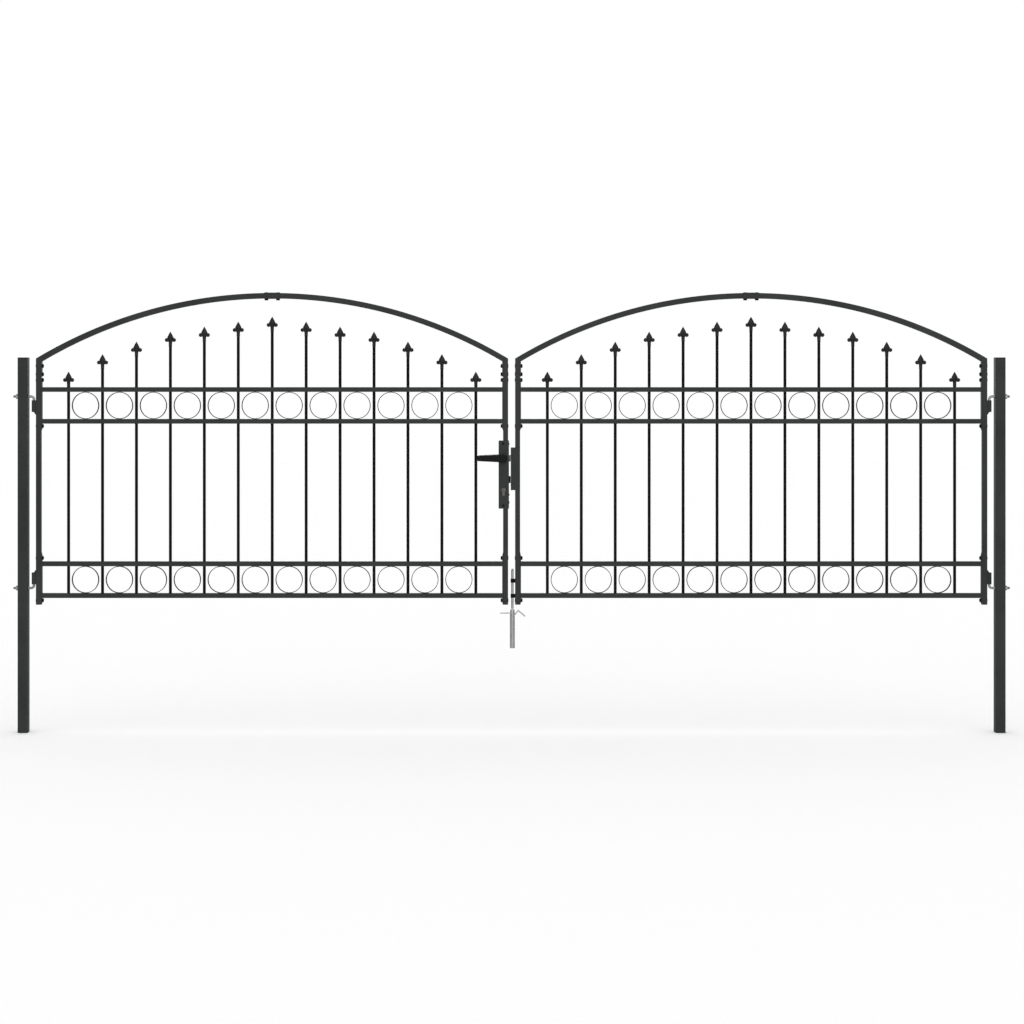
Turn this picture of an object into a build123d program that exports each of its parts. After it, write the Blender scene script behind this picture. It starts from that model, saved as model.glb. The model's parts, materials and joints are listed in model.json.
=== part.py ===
"""Double-leaf garden gate: two arched leaves on hinge hooks, with a lever lock and a drop bolt.

Millimetres, +Z up. The origin is at ground level, midway between the posts. +X runs along the closed
gate and +Y points away from the side that carries the lock's cover. Pieces that both leaves have are
made for the right leaf and mirrored for the left one.
"""
import os
from math import asin, degrees, sqrt

from build123d import *

# posts and their caps
GATEWAY = 3864.0
POST_SIZE = 40.0
POST_WALL = 2.0
POST_CORNER = 4.0
POST_ABOVE = 1004.0
POST_BELOW = 490.0
CAP_PLATE = 4.0
CAP_SKIRT = 14.0
CAP_WALL = 2.0
CAP_ROUND = 1.5

# hinges
HINGE_GAP = 31.0
HOOK_ROD = 10.0
HOOK_BEND = 11.0
HOOK_TAIL = 20.0
HOOK_STANDOFF = 15.0
HOOK_COLLAR = 15.0
HOOK_COLLAR_THICK = 3.0
HOOK_CHAMFER = 1.0
UPPER_HOOK_Z = 852.0
LOWER_HOOK_Z = 86.0
EYE_DIAMETER = 18.0
EYE_HEIGHT = 47.0
EYE_FOOT = 12.0
EYE_FIN = 13.0
EYE_GAP = 0.5
WASHER_DIAMETER = 20.0
WASHER_THICK = 2.0
HOOK_NUT_FLATS = 17.0
HOOK_NUT_HEIGHT = 8.0

# leaf frame
MEETING_GAP = 28.0
LEAF_CLEARANCE = 20.0
STILE_SIZE = 20.0
STILE_WALL = 1.5
STILE_CORNER = 2.0
STILE_TOP = 1004.0
ARCH_RISE = 262.0
ARCH_DEPTH = 22.0
SLEEVE_LENGTH = 62.0
SLEEVE_WALL = 1.2
SLEEVE_BOLTS = 47.0

# rails, bars, rings and spear heads
RAIL_SIZE = 19.0
RAIL_WALL = 1.2
RAIL_CORNER = 1.5
RING_DIAMETER = 108.0
RING_STRIP = 2.5
RING_WIDTH = 12.0
UPPER_BAND_Z = 816.4
LOWER_BAND_Z = 119.6
BAR_DIAMETER = 12.0
BAR_WALL = 1.2
BAR_MARGIN = 109.0
TIP_BELOW_ARCH = 94.0
TIP_DROPS = (0.0, 20.0, 40.0, 60.0, 100.0, 150.0, 220.0)
SPEAR_POINT = 25.0
SPEAR_WIDTH = 26.0
SPEAR_THICK = 10.0
SPEAR_WAIST = 18.0
LOBE_RADIUS = 8.0
LOBE_SPREAD = 14.5
LOBE_DROP = 34.0
BOSS_RADIUS = 10.0
FERRULE_DIAMETER = 14.0
FERRULE_TOP = 38.0
FERRULE_DEPTH = 16.0
FERRULE_ROOF = 6.0

# bolted plates on the stiles
PLATE_THICK = 3.5
PLATE_WIDTH = 18.0
PLATE_TIP = 1.0
TAB_BOLTS = (30.0, 63.0)
TAB_END = 10.0
UPPER_PLATE_BOLT = 38.0
UPPER_PLATE_END = 10.0
LOWER_PLATE_BOLT = 23.0
LOWER_PLATE_END = 21.0
PLATE_FOOT_BOLT = 19.0
PLATE_FOOT_END = 17.0
BOLT_DIAMETER = 8.0
BOLT_LENGTH = 30.0
BOLT_HEAD = 15.0
BOLT_HEAD_HEIGHT = 1.4
BOLT_HEAD_RIM = 0.5
NUT_FLATS = 13.0
NUT_HEIGHT = 6.0
NUT_FLANGE = 16.0
NUT_FLANGE_THICK = 1.4

# lock
LOCK_WIDTH = 38.0
LOCK_DEPTH = 24.0
LOCK_HEIGHT = 272.0
LOCK_BOTTOM = 404.0
LOCK_WALL = 2.0
LOCK_CORNER = 2.0
FOREND_THICK = 3.5
BACKSET = 18.0
LEVER_Z = 605.0
LEVER_BOSS = 14.0
LEVER_HUB = 20.0
LEVER_NECK = 22.0
LEVER_GRIP = 10.0
LEVER_LENGTH = 109.0
LEVER_HEEL = 15.5
LEVER_TIP = 10.5
LEVER_ROUND = 3.0
SPINDLE_SIZE = 8.0
SPINDLE_REACH = 38.0
FOLLOWER_RADIUS = 7.0
FOLLOWER_ARM = 15.0
FOLLOWER_ARM_WIDTH = 6.0
BOLT_GAP = 4.0
LATCH_HEIGHT = 26.0
LATCH_THICK = 12.0
LATCH_BEVEL = 6.0
LATCH_TRAVEL = 9.0
LATCH_NOTCH = 10.0
LATCH_ROOF = 17.0
LATCH_TOP = 24.0
SPRING_BORE = 5.0
SPRING_MEAN = 3.8
SPRING_WIRE = 0.6
SPRING_TURNS = 9.0
DEAD_BOLT_Z = 520.0
DEAD_BOLT_HEIGHT = 28.0
DEAD_BOLT_THICK = 12.0
DEAD_BOLT_LENGTH = 32.0
DEAD_BOLT_TAIL = 6.0
KEY_Z = 479.0
BARREL_DIAMETER = 17.0
BARREL_LENGTH = 32.0
BARREL_HEIGHT = 33.0
BARREL_SLAB = 10.0
PLUG_DIAMETER = 11.0
KEYWAY_WIDTH = 2.6
KEYWAY_HEIGHT = 8.0
KEYWAY_DEPTH = 7.0
CAM_RADIUS = 13.5
CAM_WIDTH = 8.0
CAM_HUB = 15.0
CAM_THICK = 9.4
CAM_ROOM = 0.8
CYLINDER_SCREW_DROP = 19.5
SCREW_DIAMETER = 5.0
SCREW_HEAD = 9.0
SCREW_HEAD_HEIGHT = 2.0
FOREND_SCREW_LENGTH = 12.0
FOREND_SCREW_INSET = (14.0, 24.0)
CYLINDER_SCREW_LENGTH = 28.0
COVER_SCREW_INSET = 12.0
COVER_SCREW_LENGTH = 12.0
COVER_PILLAR = 9.0

# strike box, drop bolt and ground socket
STRIKE_FACE = 3.5
STRIKE_WALL = 2.0
STRIKE_BOTTOM = 478.0
STRIKE_TOP = 648.0
STRIKE_ROOM = 1.0
DROP_ROD = 10.0
DROP_X = 3.0
DROP_TIP = 3.0
DROP_TRAVEL = 25.0
DROP_BEND = 8.0
DROP_HANDLE = 55.0
KEEPER_DIAMETER = 14.0
KEEPER_FOOT = 8.0
KEEPER_HEIGHT = 16.0
KEEPER_Z = (115.5, 55.0)
SOCKET_DIAMETER = 20.0
SOCKET_WALL = 2.0
SOCKET_DEPTH = 154.0
SOCKET_MOUTH = 15.0
SOCKET_LIP = 17.0
SOCKET_CONE = 25.0
STRAP_THICK = 4.5
STRAP_WIDTH = 16.0
LEFT_STRAP = ((3.0, -13.6), (-46.0, -13.6))
RIGHT_STRAP = ((3.0, -33.0), (26.4, -4.0), (53.6, -27.0))

# clearances
RUN = 0.05
SEAT = 0.1
HOLE = 0.2
FREE = 0.3

# places that follow from the sizes above
POST_IN = GATEWAY / 2
POST_OUT = POST_IN + POST_SIZE
POST_X = POST_IN + POST_SIZE / 2
LEAF_OUT = POST_IN - HINGE_GAP
LEAF_IN = MEETING_GAP / 2
LEAF_MID = (LEAF_OUT + LEAF_IN) / 2
LEAF_HALF = (LEAF_OUT - LEAF_IN) / 2
PIN_X = LEAF_OUT + EYE_DIAMETER / 2 + EYE_GAP
HOOK_HEIGHTS = ((0.0, UPPER_HOOK_Z), (0.0, LOWER_HOOK_Z))
ARCH_TOP = STILE_TOP + ARCH_RISE
ARCH_OUTER = (LEAF_HALF**2 + ARCH_RISE**2) / (2 * ARCH_RISE)
ARCH_INNER = ARCH_OUTER - ARCH_DEPTH
ARCH_Z = ARCH_TOP - ARCH_OUTER
FRAME_OUT = LEAF_OUT - STILE_SIZE
FRAME_IN = LEAF_IN + STILE_SIZE
BAND_HALF = (RING_DIAMETER + RAIL_SIZE) / 2 + SEAT / 5
RAIL_HEIGHTS = (
    UPPER_BAND_Z + BAND_HALF,
    UPPER_BAND_Z - BAND_HALF,
    LOWER_BAND_Z + BAND_HALF,
    LOWER_BAND_Z - BAND_HALF,
)
BAR_STEPS = len(TIP_DROPS) - 1
BAR_PITCH = (FRAME_OUT - FRAME_IN - 2 * BAR_MARGIN) / (2 * BAR_STEPS)
BAR_PLACES = [
    (LEAF_MID + n * BAR_PITCH, ARCH_TOP - TIP_BELOW_ARCH - TIP_DROPS[abs(n)])
    for n in range(-BAR_STEPS, BAR_STEPS + 1)
]
BAR_FOOT = RAIL_HEIGHTS[3] - RAIL_SIZE / 2 + RAIL_WALL
TAB_HEIGHTS = [STILE_TOP - drop for drop in TAB_BOLTS]
PLATE_HEIGHTS = [
    RAIL_HEIGHTS[0] + UPPER_PLATE_BOLT,
    RAIL_HEIGHTS[1] - PLATE_FOOT_BOLT,
    RAIL_HEIGHTS[2] + LOWER_PLATE_BOLT,
    RAIL_HEIGHTS[3] - PLATE_FOOT_BOLT,
]
STILE_BOLTS = TAB_HEIGHTS + PLATE_HEIGHTS
LOCK_FACE = -LEAF_IN
LOCK_BACK = LOCK_FACE - LOCK_WIDTH
LOCK_MID = (LOCK_FACE + LOCK_BACK) / 2
LOCK_TOP = LOCK_BOTTOM + LOCK_HEIGHT
LOCK_MID_Z = (LOCK_BOTTOM + LOCK_TOP) / 2
LOCK_REAR = LOCK_DEPTH / 2
LOCK_AXIS = LOCK_FACE - BACKSET
FOREND_FACE = LOCK_FACE + FOREND_THICK
BRIDGE_TOP = KEY_Z - CAM_RADIUS - CAM_ROOM
CYLINDER_SCREW_Z = KEY_Z - CYLINDER_SCREW_DROP
FOREND_SCREW_Z = (LOCK_TOP - FOREND_SCREW_INSET[0], LOCK_BOTTOM + FOREND_SCREW_INSET[1])
COVER_SCREW_Z = (LOCK_TOP - COVER_SCREW_INSET, LOCK_BOTTOM + COVER_SCREW_INSET)
DEAD_BOLT_SIDE = DEAD_BOLT_HEIGHT + 2 * FREE
LATCH_SIDE = LATCH_HEIGHT + 2 * FREE


def write(piece, name):
    piece.label = name
    export_step(piece, f"parts/{name}.step")


def mirrored(piece):
    with BuildPart() as copy:
        mirror(piece, about=Plane.YZ)
    return copy.part


def both_sides(piece):
    with BuildPart() as pair:
        add(piece)
        mirror(piece, about=Plane.YZ)
    return pair.part


def arch_point(radius, offset):
    return (LEAF_MID + offset, ARCH_Z + sqrt(radius**2 - offset**2))


def arch_block(outer, inner, outer_start, inner_start, end, half_depth):
    """A solid between two arcs of the arch, from a start to an end beside the leaf's middle."""
    with BuildPart() as block:
        with BuildSketch(Plane.XZ):
            with BuildLine():
                middle = (outer_start + end) / 2
                ThreePointArc(
                    arch_point(outer, outer_start),
                    arch_point(outer, middle),
                    arch_point(outer, end),
                )
                Line(arch_point(outer, end), arch_point(inner, end))
                middle = (inner_start + end) / 2
                ThreePointArc(
                    arch_point(inner, end),
                    arch_point(inner, middle),
                    arch_point(inner, inner_start),
                )
                Line(arch_point(inner, inner_start), arch_point(outer, outer_start))
            make_face()
        extrude(amount=half_depth, both=True)
    return block.part


def arch_radial(radius, offset):
    """A plane on the arch, square to its radius."""
    x, z = arch_point(ARCH_OUTER, offset)
    out = Vector(x - LEAF_MID, 0, z - ARCH_Z).normalized()
    return Plane(origin=Vector(LEAF_MID, 0, ARCH_Z) + out * radius, x_dir=(0, 1, 0), z_dir=out)


os.makedirs("parts", exist_ok=True)

# posts: square tubes drilled for the hinge hooks
with BuildPart() as post:
    with BuildSketch(Plane.XY.offset(-POST_BELOW)):
        with Locations((POST_X, 0)):
            RectangleRounded(POST_SIZE, POST_SIZE, POST_CORNER)
            bore = POST_SIZE - 2 * POST_WALL
            RectangleRounded(bore, bore, POST_CORNER - POST_WALL, mode=Mode.SUBTRACT)
    extrude(amount=POST_BELOW + POST_ABOVE)
    with BuildSketch(Plane.YZ.offset(POST_IN)):
        with Locations(*HOOK_HEIGHTS):
            Circle(HOOK_ROD / 2 + HOLE)
    extrude(amount=POST_SIZE, mode=Mode.SUBTRACT)
write(post.part, "right_post")
write(mirrored(post.part), "left_post")

# post caps: a plate with a skirt that plugs into the tube
with BuildPart() as cap:
    with BuildSketch(Plane.XY.offset(POST_ABOVE)):
        with Locations((POST_X, 0)):
            RectangleRounded(POST_SIZE, POST_SIZE, POST_CORNER)
    extrude(amount=CAP_PLATE)
    fillet(cap.faces().sort_by(Axis.Z)[-1].edges(), radius=CAP_ROUND)
    with BuildSketch(Plane.XY.offset(POST_ABOVE)):
        with Locations((POST_X, 0)):
            plug = POST_SIZE - 2 * POST_WALL - 2 * SEAT
            RectangleRounded(plug, plug, POST_CORNER - POST_WALL)
            Rectangle(plug - 2 * CAP_WALL, plug - 2 * CAP_WALL, mode=Mode.SUBTRACT)
    extrude(amount=-CAP_SKIRT)
write(both_sides(cap.part), "post_caps")

# hinge hooks: the upper pin points down and the lower pin points up
with BuildPart() as hooks:
    for height, way in ((UPPER_HOOK_Z, -1), (LOWER_HOOK_Z, 1)):
        pin_end = height + way * (HOOK_STANDOFF + EYE_HEIGHT - HOOK_COLLAR_THICK)
        with BuildLine() as hook_path:
            FilletPolyline(
                (POST_OUT + HOOK_TAIL, 0, height),
                (PIN_X, 0, height),
                (PIN_X, 0, pin_end),
                radius=HOOK_BEND,
            )
        with BuildSketch(Plane(origin=hook_path.line @ 0, z_dir=hook_path.line % 0)):
            Circle(HOOK_ROD / 2)
        sweep(path=hook_path.line)
    chamfer(hooks.faces().sort_by(Axis.X)[-2:].edges(), length=HOOK_CHAMFER)
    with BuildSketch(Plane.YZ.offset(POST_IN)):
        with Locations(*HOOK_HEIGHTS):
            Circle(HOOK_COLLAR / 2)
    extrude(amount=-HOOK_COLLAR_THICK)
write(hooks.part, "right_hinge_hooks")
write(mirrored(hooks.part), "left_hinge_hooks")

# washers and nuts on the hooks, outside the posts
with BuildPart() as washers:
    with BuildSketch(Plane.YZ.offset(POST_OUT)):
        with Locations(*HOOK_HEIGHTS):
            Circle(WASHER_DIAMETER / 2)
            Circle(HOOK_ROD / 2 + HOLE, mode=Mode.SUBTRACT)
    extrude(amount=WASHER_THICK)
write(both_sides(washers.part), "hook_washers")

with BuildPart() as hook_nuts:
    with BuildSketch(Plane.YZ.offset(POST_OUT + WASHER_THICK)):
        with Locations(*HOOK_HEIGHTS):
            RegularPolygon(HOOK_NUT_FLATS / 2, 6, major_radius=False)
            Circle(HOOK_ROD / 2 + RUN, mode=Mode.SUBTRACT)
    extrude(amount=HOOK_NUT_HEIGHT)
write(both_sides(hook_nuts.part), "hook_nuts")

# hinge eyes on the hinge stile, each with a fin at the end away from its hook
with BuildPart() as eyes:
    upper_floor = UPPER_HOOK_Z - HOOK_STANDOFF - EYE_HEIGHT
    lower_floor = LOWER_HOOK_Z + HOOK_STANDOFF
    for floor, fin, reach in (
        (upper_floor, upper_floor, -EYE_FIN),
        (lower_floor, lower_floor + EYE_HEIGHT, EYE_FIN),
    ):
        with BuildSketch(Plane.XY.offset(floor)):
            with Locations((PIN_X, 0)):
                Circle(EYE_DIAMETER / 2)
            with Locations(((PIN_X + LEAF_OUT) / 2, 0)):
                Rectangle(PIN_X - LEAF_OUT, EYE_FOOT)
            with Locations((PIN_X, 0)):
                Circle(HOOK_ROD / 2 + RUN, mode=Mode.SUBTRACT)
        extrude(amount=EYE_HEIGHT)
        with BuildSketch(Plane.XZ):
            with BuildLine():
                Polyline((LEAF_OUT, fin), (PIN_X, fin), (LEAF_OUT, fin + reach), close=True)
            make_face()
        extrude(amount=EYE_FOOT / 2, both=True)
write(eyes.part, "right_hinge_eyes")
write(mirrored(eyes.part), "left_hinge_eyes")

# hinge stile: square tube, its top mitred to the arch and its side drilled for the plate bolts
corner_x, corner_z = arch_point(ARCH_OUTER, LEAF_HALF)
inset_x, inset_z = arch_point(ARCH_INNER, LEAF_HALF - STILE_SIZE)
mitre = Plane(
    origin=(corner_x, 0, corner_z),
    x_dir=(0, 1, 0),
    z_dir=(inset_z - corner_z, 0, corner_x - inset_x),
)
with BuildPart() as hinge_stile:
    with BuildSketch(Plane.XY.offset(LEAF_CLEARANCE)):
        with Locations((LEAF_OUT - STILE_SIZE / 2, 0)):
            RectangleRounded(STILE_SIZE, STILE_SIZE, STILE_CORNER)
            bore = STILE_SIZE - 2 * STILE_WALL
            RectangleRounded(bore, bore, STILE_CORNER - STILE_WALL, mode=Mode.SUBTRACT)
    extrude(amount=STILE_TOP + STILE_SIZE - LEAF_CLEARANCE)
    split(bisect_by=mitre, keep=Keep.BOTTOM)
    with BuildSketch(Plane.YZ.offset(LEAF_OUT)):
        with Locations(*[(0, height) for height in STILE_BOLTS]):
            Circle(BOLT_DIAMETER / 2 + HOLE)
    extrude(amount=-STILE_SIZE, mode=Mode.SUBTRACT)
write(hinge_stile.part, "right_hinge_stile")
write(mirrored(hinge_stile.part), "left_hinge_stile")

# meeting stile: the same tube turned about the leaf's middle; the lock splits the left one
with BuildPart() as meeting_stile:
    mirror(hinge_stile.part, about=Plane.YZ.offset(LEAF_MID))
write(meeting_stile.part, "right_meeting_stile")

with BuildPart() as stile_upper:
    mirror(meeting_stile.part, about=Plane.YZ)
    split(bisect_by=Plane.XY.offset(LOCK_TOP), keep=Keep.TOP)
write(stile_upper.part, "left_meeting_stile_upper")

with BuildPart() as stile_lower:
    mirror(meeting_stile.part, about=Plane.YZ)
    split(bisect_by=Plane.XY.offset(LOCK_BOTTOM), keep=Keep.BOTTOM)
write(stile_lower.part, "left_meeting_stile_lower")

# arch: two bent halves of square tube that meet at the top
past = LEAF_HALF + STILE_SIZE
arch_body = arch_block(ARCH_OUTER, ARCH_INNER, LEAF_HALF, LEAF_HALF - STILE_SIZE, 0, STILE_SIZE / 2)
arch_bore = arch_block(
    ARCH_OUTER - STILE_WALL,
    ARCH_INNER + STILE_WALL,
    past,
    past,
    -STILE_SIZE,
    STILE_SIZE / 2 - STILE_WALL,
)
with BuildPart() as arch:
    add(arch_body)
    add(arch_bore, mode=Mode.SUBTRACT)
    with BuildSketch(arch_radial(ARCH_OUTER + STILE_WALL, SLEEVE_BOLTS / 2)):
        Circle(BOLT_DIAMETER / 2 + HOLE)
    extrude(amount=-(ARCH_DEPTH + 2 * STILE_WALL), mode=Mode.SUBTRACT)
write(arch.part, "right_arch_hinge_half")
write(mirrored(arch.part), "left_arch_hinge_half")

with BuildPart() as arch_meeting:
    mirror(arch.part, about=Plane.YZ.offset(LEAF_MID))
write(arch_meeting.part, "right_arch_meeting_half")
write(mirrored(arch_meeting.part), "left_arch_meeting_half")

# sleeve over the arch's joint
sleeve_half = SLEEVE_LENGTH / 2
skin = SEAT + SLEEVE_WALL
sleeve_body = arch_block(
    ARCH_OUTER + skin,
    ARCH_INNER - skin,
    sleeve_half,
    sleeve_half,
    -sleeve_half,
    STILE_SIZE / 2 + skin,
)
sleeve_bore = arch_block(
    ARCH_OUTER + SEAT,
    ARCH_INNER - SEAT,
    SLEEVE_LENGTH,
    SLEEVE_LENGTH,
    -SLEEVE_LENGTH,
    STILE_SIZE / 2 + SEAT,
)
with BuildPart() as sleeve:
    add(sleeve_body)
    add(sleeve_bore, mode=Mode.SUBTRACT)
    for offset in (-SLEEVE_BOLTS / 2, SLEEVE_BOLTS / 2):
        with BuildSketch(arch_radial(ARCH_OUTER + 2 * skin, offset)):
            Circle(BOLT_DIAMETER / 2 + HOLE)
        extrude(amount=-(ARCH_DEPTH + 4 * skin), mode=Mode.SUBTRACT)
write(sleeve.part, "right_arch_sleeve")
write(mirrored(sleeve.part), "left_arch_sleeve")

# plates on the hinge stile's inner face: a corner tab under the arch and two end plates for the rails
tab_foot = TAB_HEIGHTS[1] - TAB_END
nut_half = NUT_FLANGE / 2
plate_spans = (
    (PLATE_HEIGHTS[1], PLATE_FOOT_END, PLATE_HEIGHTS[0], UPPER_PLATE_END),
    (PLATE_HEIGHTS[3], PLATE_FOOT_END, PLATE_HEIGHTS[2], LOWER_PLATE_END),
)
with BuildPart() as hinge_plates:
    with BuildSketch(Plane.XZ):
        with BuildLine():
            Polyline(
                (FRAME_OUT, tab_foot),
                arch_point(ARCH_INNER, FRAME_OUT - LEAF_MID),
                arch_point(ARCH_INNER, FRAME_OUT - PLATE_THICK - LEAF_MID),
                (FRAME_OUT - PLATE_THICK, tab_foot),
                close=True,
            )
        make_face()
        for low, low_end, high, high_end in plate_spans:
            with BuildLine():
                Polyline(
                    (FRAME_OUT, low - low_end),
                    (FRAME_OUT, high + high_end),
                    (FRAME_OUT - PLATE_TIP, high + high_end),
                    (FRAME_OUT - PLATE_THICK, high + nut_half),
                    (FRAME_OUT - PLATE_THICK, low - nut_half),
                    (FRAME_OUT - PLATE_TIP, low - low_end),
                    close=True,
                )
            make_face()
    extrude(amount=PLATE_WIDTH / 2, both=True)
    with BuildSketch(Plane.YZ.offset(FRAME_OUT)):
        with Locations(*[(0, height) for height in STILE_BOLTS]):
            Circle(BOLT_DIAMETER / 2 + HOLE)
    extrude(amount=-PLATE_THICK, mode=Mode.SUBTRACT)

with BuildPart() as stile_plates:
    add(hinge_plates.part)
    mirror(hinge_plates.part, about=Plane.YZ.offset(LEAF_MID))
write(stile_plates.part, "right_stile_plates")
write(mirrored(stile_plates.part), "left_stile_plates")

# bolts and nuts of the frame
with BuildPart() as bolt:
    with BuildSketch(Plane.XZ):
        with BuildLine():
            Polyline(
                (0, BOLT_HEAD_HEIGHT),
                (0, -BOLT_LENGTH),
                (BOLT_DIAMETER / 2, -BOLT_LENGTH),
                (BOLT_DIAMETER / 2, 0),
                (BOLT_HEAD / 2, 0),
                (BOLT_HEAD / 2, BOLT_HEAD_RIM),
            )
            dome = BOLT_HEAD_HEIGHT - BOLT_HEAD_RIM
            ball = ((BOLT_HEAD / 2) ** 2 + dome**2) / (2 * dome)
            shoulder_z = BOLT_HEAD_HEIGHT - ball + sqrt(ball**2 - (BOLT_HEAD / 4) ** 2)
            ThreePointArc(
                (BOLT_HEAD / 2, BOLT_HEAD_RIM),
                (BOLT_HEAD / 4, shoulder_z),
                (0, BOLT_HEAD_HEIGHT),
            )
        make_face()
    revolve(axis=Axis.Z)

with BuildPart() as nut:
    with BuildSketch():
        Circle(NUT_FLANGE / 2)
        Circle(BOLT_DIAMETER / 2 + RUN, mode=Mode.SUBTRACT)
    extrude(amount=NUT_FLANGE_THICK)
    with BuildSketch(Plane.XY.offset(NUT_FLANGE_THICK)):
        RegularPolygon(NUT_FLATS / 2, 6, major_radius=False)
        Circle(BOLT_DIAMETER / 2 + RUN, mode=Mode.SUBTRACT)
    extrude(amount=NUT_HEIGHT - NUT_FLANGE_THICK)

bolt_places = []
nut_places = []
for height in STILE_BOLTS:
    bolt_places.append(Location((LEAF_OUT, 0, height), (0, 90, 0)))
    bolt_places.append(Location((LEAF_IN, 0, height), (0, -90, 0)))
    nut_places.append(Location((FRAME_OUT - PLATE_THICK, 0, height), (0, -90, 0)))
    nut_places.append(Location((FRAME_IN + PLATE_THICK, 0, height), (0, 90, 0)))
for offset in (-SLEEVE_BOLTS / 2, SLEEVE_BOLTS / 2):
    tilt = degrees(asin(offset / ARCH_OUTER))
    top = arch_radial(ARCH_OUTER + SEAT + SLEEVE_WALL + RUN, offset).origin
    under = arch_radial(ARCH_INNER - SEAT - SLEEVE_WALL - RUN, offset).origin
    bolt_places.append(Location(tuple(top), (0, tilt, 0)))
    nut_places.append(Location(tuple(under), (0, tilt + 180, 0)))

with BuildPart() as frame_bolts:
    with Locations(*bolt_places):
        add(bolt.part)
write(frame_bolts.part, "right_frame_bolts")
write(mirrored(frame_bolts.part), "left_frame_bolts")

with BuildPart() as frame_nuts:
    with Locations(*nut_places):
        add(nut.part)
write(frame_nuts.part, "right_frame_nuts")
write(mirrored(frame_nuts.part), "left_frame_nuts")

# rails between the end plates, punched for the bars; the lowest one keeps its floor whole
rail_names = ("top_rail", "upper_rail", "lower_rail", "bottom_rail")
for name, height in zip(rail_names, RAIL_HEIGHTS):
    with BuildPart() as rail:
        with BuildSketch(Plane.YZ.offset(FRAME_IN + PLATE_THICK)):
            with Locations((0, height)):
                RectangleRounded(RAIL_SIZE, RAIL_SIZE, RAIL_CORNER)
                bore = RAIL_SIZE - 2 * RAIL_WALL
                RectangleRounded(bore, bore, RAIL_CORNER - RAIL_WALL, mode=Mode.SUBTRACT)
        extrude(amount=FRAME_OUT - FRAME_IN - 2 * PLATE_THICK)
        with BuildSketch(Plane.XY.offset(height + RAIL_SIZE / 2)):
            with Locations(*[(x, 0) for x, tip in BAR_PLACES]):
                Circle(BAR_DIAMETER / 2 + SEAT)
        punch = RAIL_SIZE / 2 if name == "bottom_rail" else RAIL_SIZE
        extrude(amount=-punch, mode=Mode.SUBTRACT)
    write(rail.part, f"right_{name}")
    write(mirrored(rail.part), f"left_{name}")

# upright bars, standing on the bottom rail's floor
with BuildPart() as bars:
    for x, tip in BAR_PLACES:
        with BuildSketch(Plane.XY.offset(BAR_FOOT)):
            with Locations((x, 0)):
                Circle(BAR_DIAMETER / 2)
                Circle(BAR_DIAMETER / 2 - BAR_WALL, mode=Mode.SUBTRACT)
        extrude(amount=tip - FERRULE_TOP - FERRULE_ROOF - BAR_FOOT)
write(bars.part, "right_bars")
write(mirrored(bars.part), "left_bars")

# spear heads: point, boss and two side lobes over a ferrule that sits on the bar
with BuildPart() as spear:
    with BuildSketch(Plane.XZ):
        with BuildLine():
            flank = (SPEAR_WIDTH / 2 * 0.58, -SPEAR_POINT / 2)
            ThreePointArc((0, 0), flank, (SPEAR_WIDTH / 2, -SPEAR_POINT))
            Polyline(
                (SPEAR_WIDTH / 2, -SPEAR_POINT),
                (SPEAR_WAIST / 2, -SPEAR_POINT - SPEAR_THICK / 2),
                (SPEAR_WAIST / 2, -FERRULE_TOP - FERRULE_ROOF / 2),
                (-SPEAR_WAIST / 2, -FERRULE_TOP - FERRULE_ROOF / 2),
                (-SPEAR_WAIST / 2, -SPEAR_POINT - SPEAR_THICK / 2),
                (-SPEAR_WIDTH / 2, -SPEAR_POINT),
            )
            ThreePointArc((-SPEAR_WIDTH / 2, -SPEAR_POINT), (-flank[0], flank[1]), (0, 0))
        make_face()
    extrude(amount=SPEAR_THICK / 2, both=True)
    with BuildSketch(Plane.YZ):
        with BuildLine():
            Polyline(
                (0, 0),
                (SPEAR_THICK / 2, -SPEAR_POINT),
                (SPEAR_THICK / 2, -FERRULE_TOP - FERRULE_ROOF),
                (-SPEAR_THICK / 2, -FERRULE_TOP - FERRULE_ROOF),
                (-SPEAR_THICK / 2, -SPEAR_POINT),
                close=True,
            )
        make_face()
    extrude(amount=SPEAR_WIDTH, both=True, mode=Mode.INTERSECT)
    with Locations((-LOBE_SPREAD, 0, -LOBE_DROP), (LOBE_SPREAD, 0, -LOBE_DROP)):
        Sphere(LOBE_RADIUS)
    with Locations((0, 0, -LOBE_DROP)):
        Sphere(BOSS_RADIUS)
    with BuildSketch(Plane.XY.offset(-FERRULE_TOP)):
        Circle(FERRULE_DIAMETER / 2)
    extrude(amount=-(FERRULE_ROOF + FERRULE_DEPTH))
    with BuildSketch(Plane.XY.offset(-FERRULE_TOP - FERRULE_ROOF)):
        Circle(BAR_DIAMETER / 2 + SEAT)
    extrude(amount=-FERRULE_DEPTH, mode=Mode.SUBTRACT)

with BuildPart() as spears:
    with Locations(*[(x, 0, tip) for x, tip in BAR_PLACES]):
        add(spear.part)
write(spears.part, "right_spear_heads")
write(mirrored(spears.part), "left_spear_heads")

# rings of flat strip between the rails of each band
with BuildPart() as rings:
    with BuildSketch(Plane.XZ):
        for band in (UPPER_BAND_Z, LOWER_BAND_Z):
            with Locations(*[(x + BAR_PITCH / 2, band) for x, tip in BAR_PLACES[:-1]]):
                Circle(RING_DIAMETER / 2)
                Circle(RING_DIAMETER / 2 - RING_STRIP, mode=Mode.SUBTRACT)
    extrude(amount=RING_WIDTH / 2, both=True)
write(rings.part, "right_rings")
write(mirrored(rings.part), "left_rings")

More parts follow.
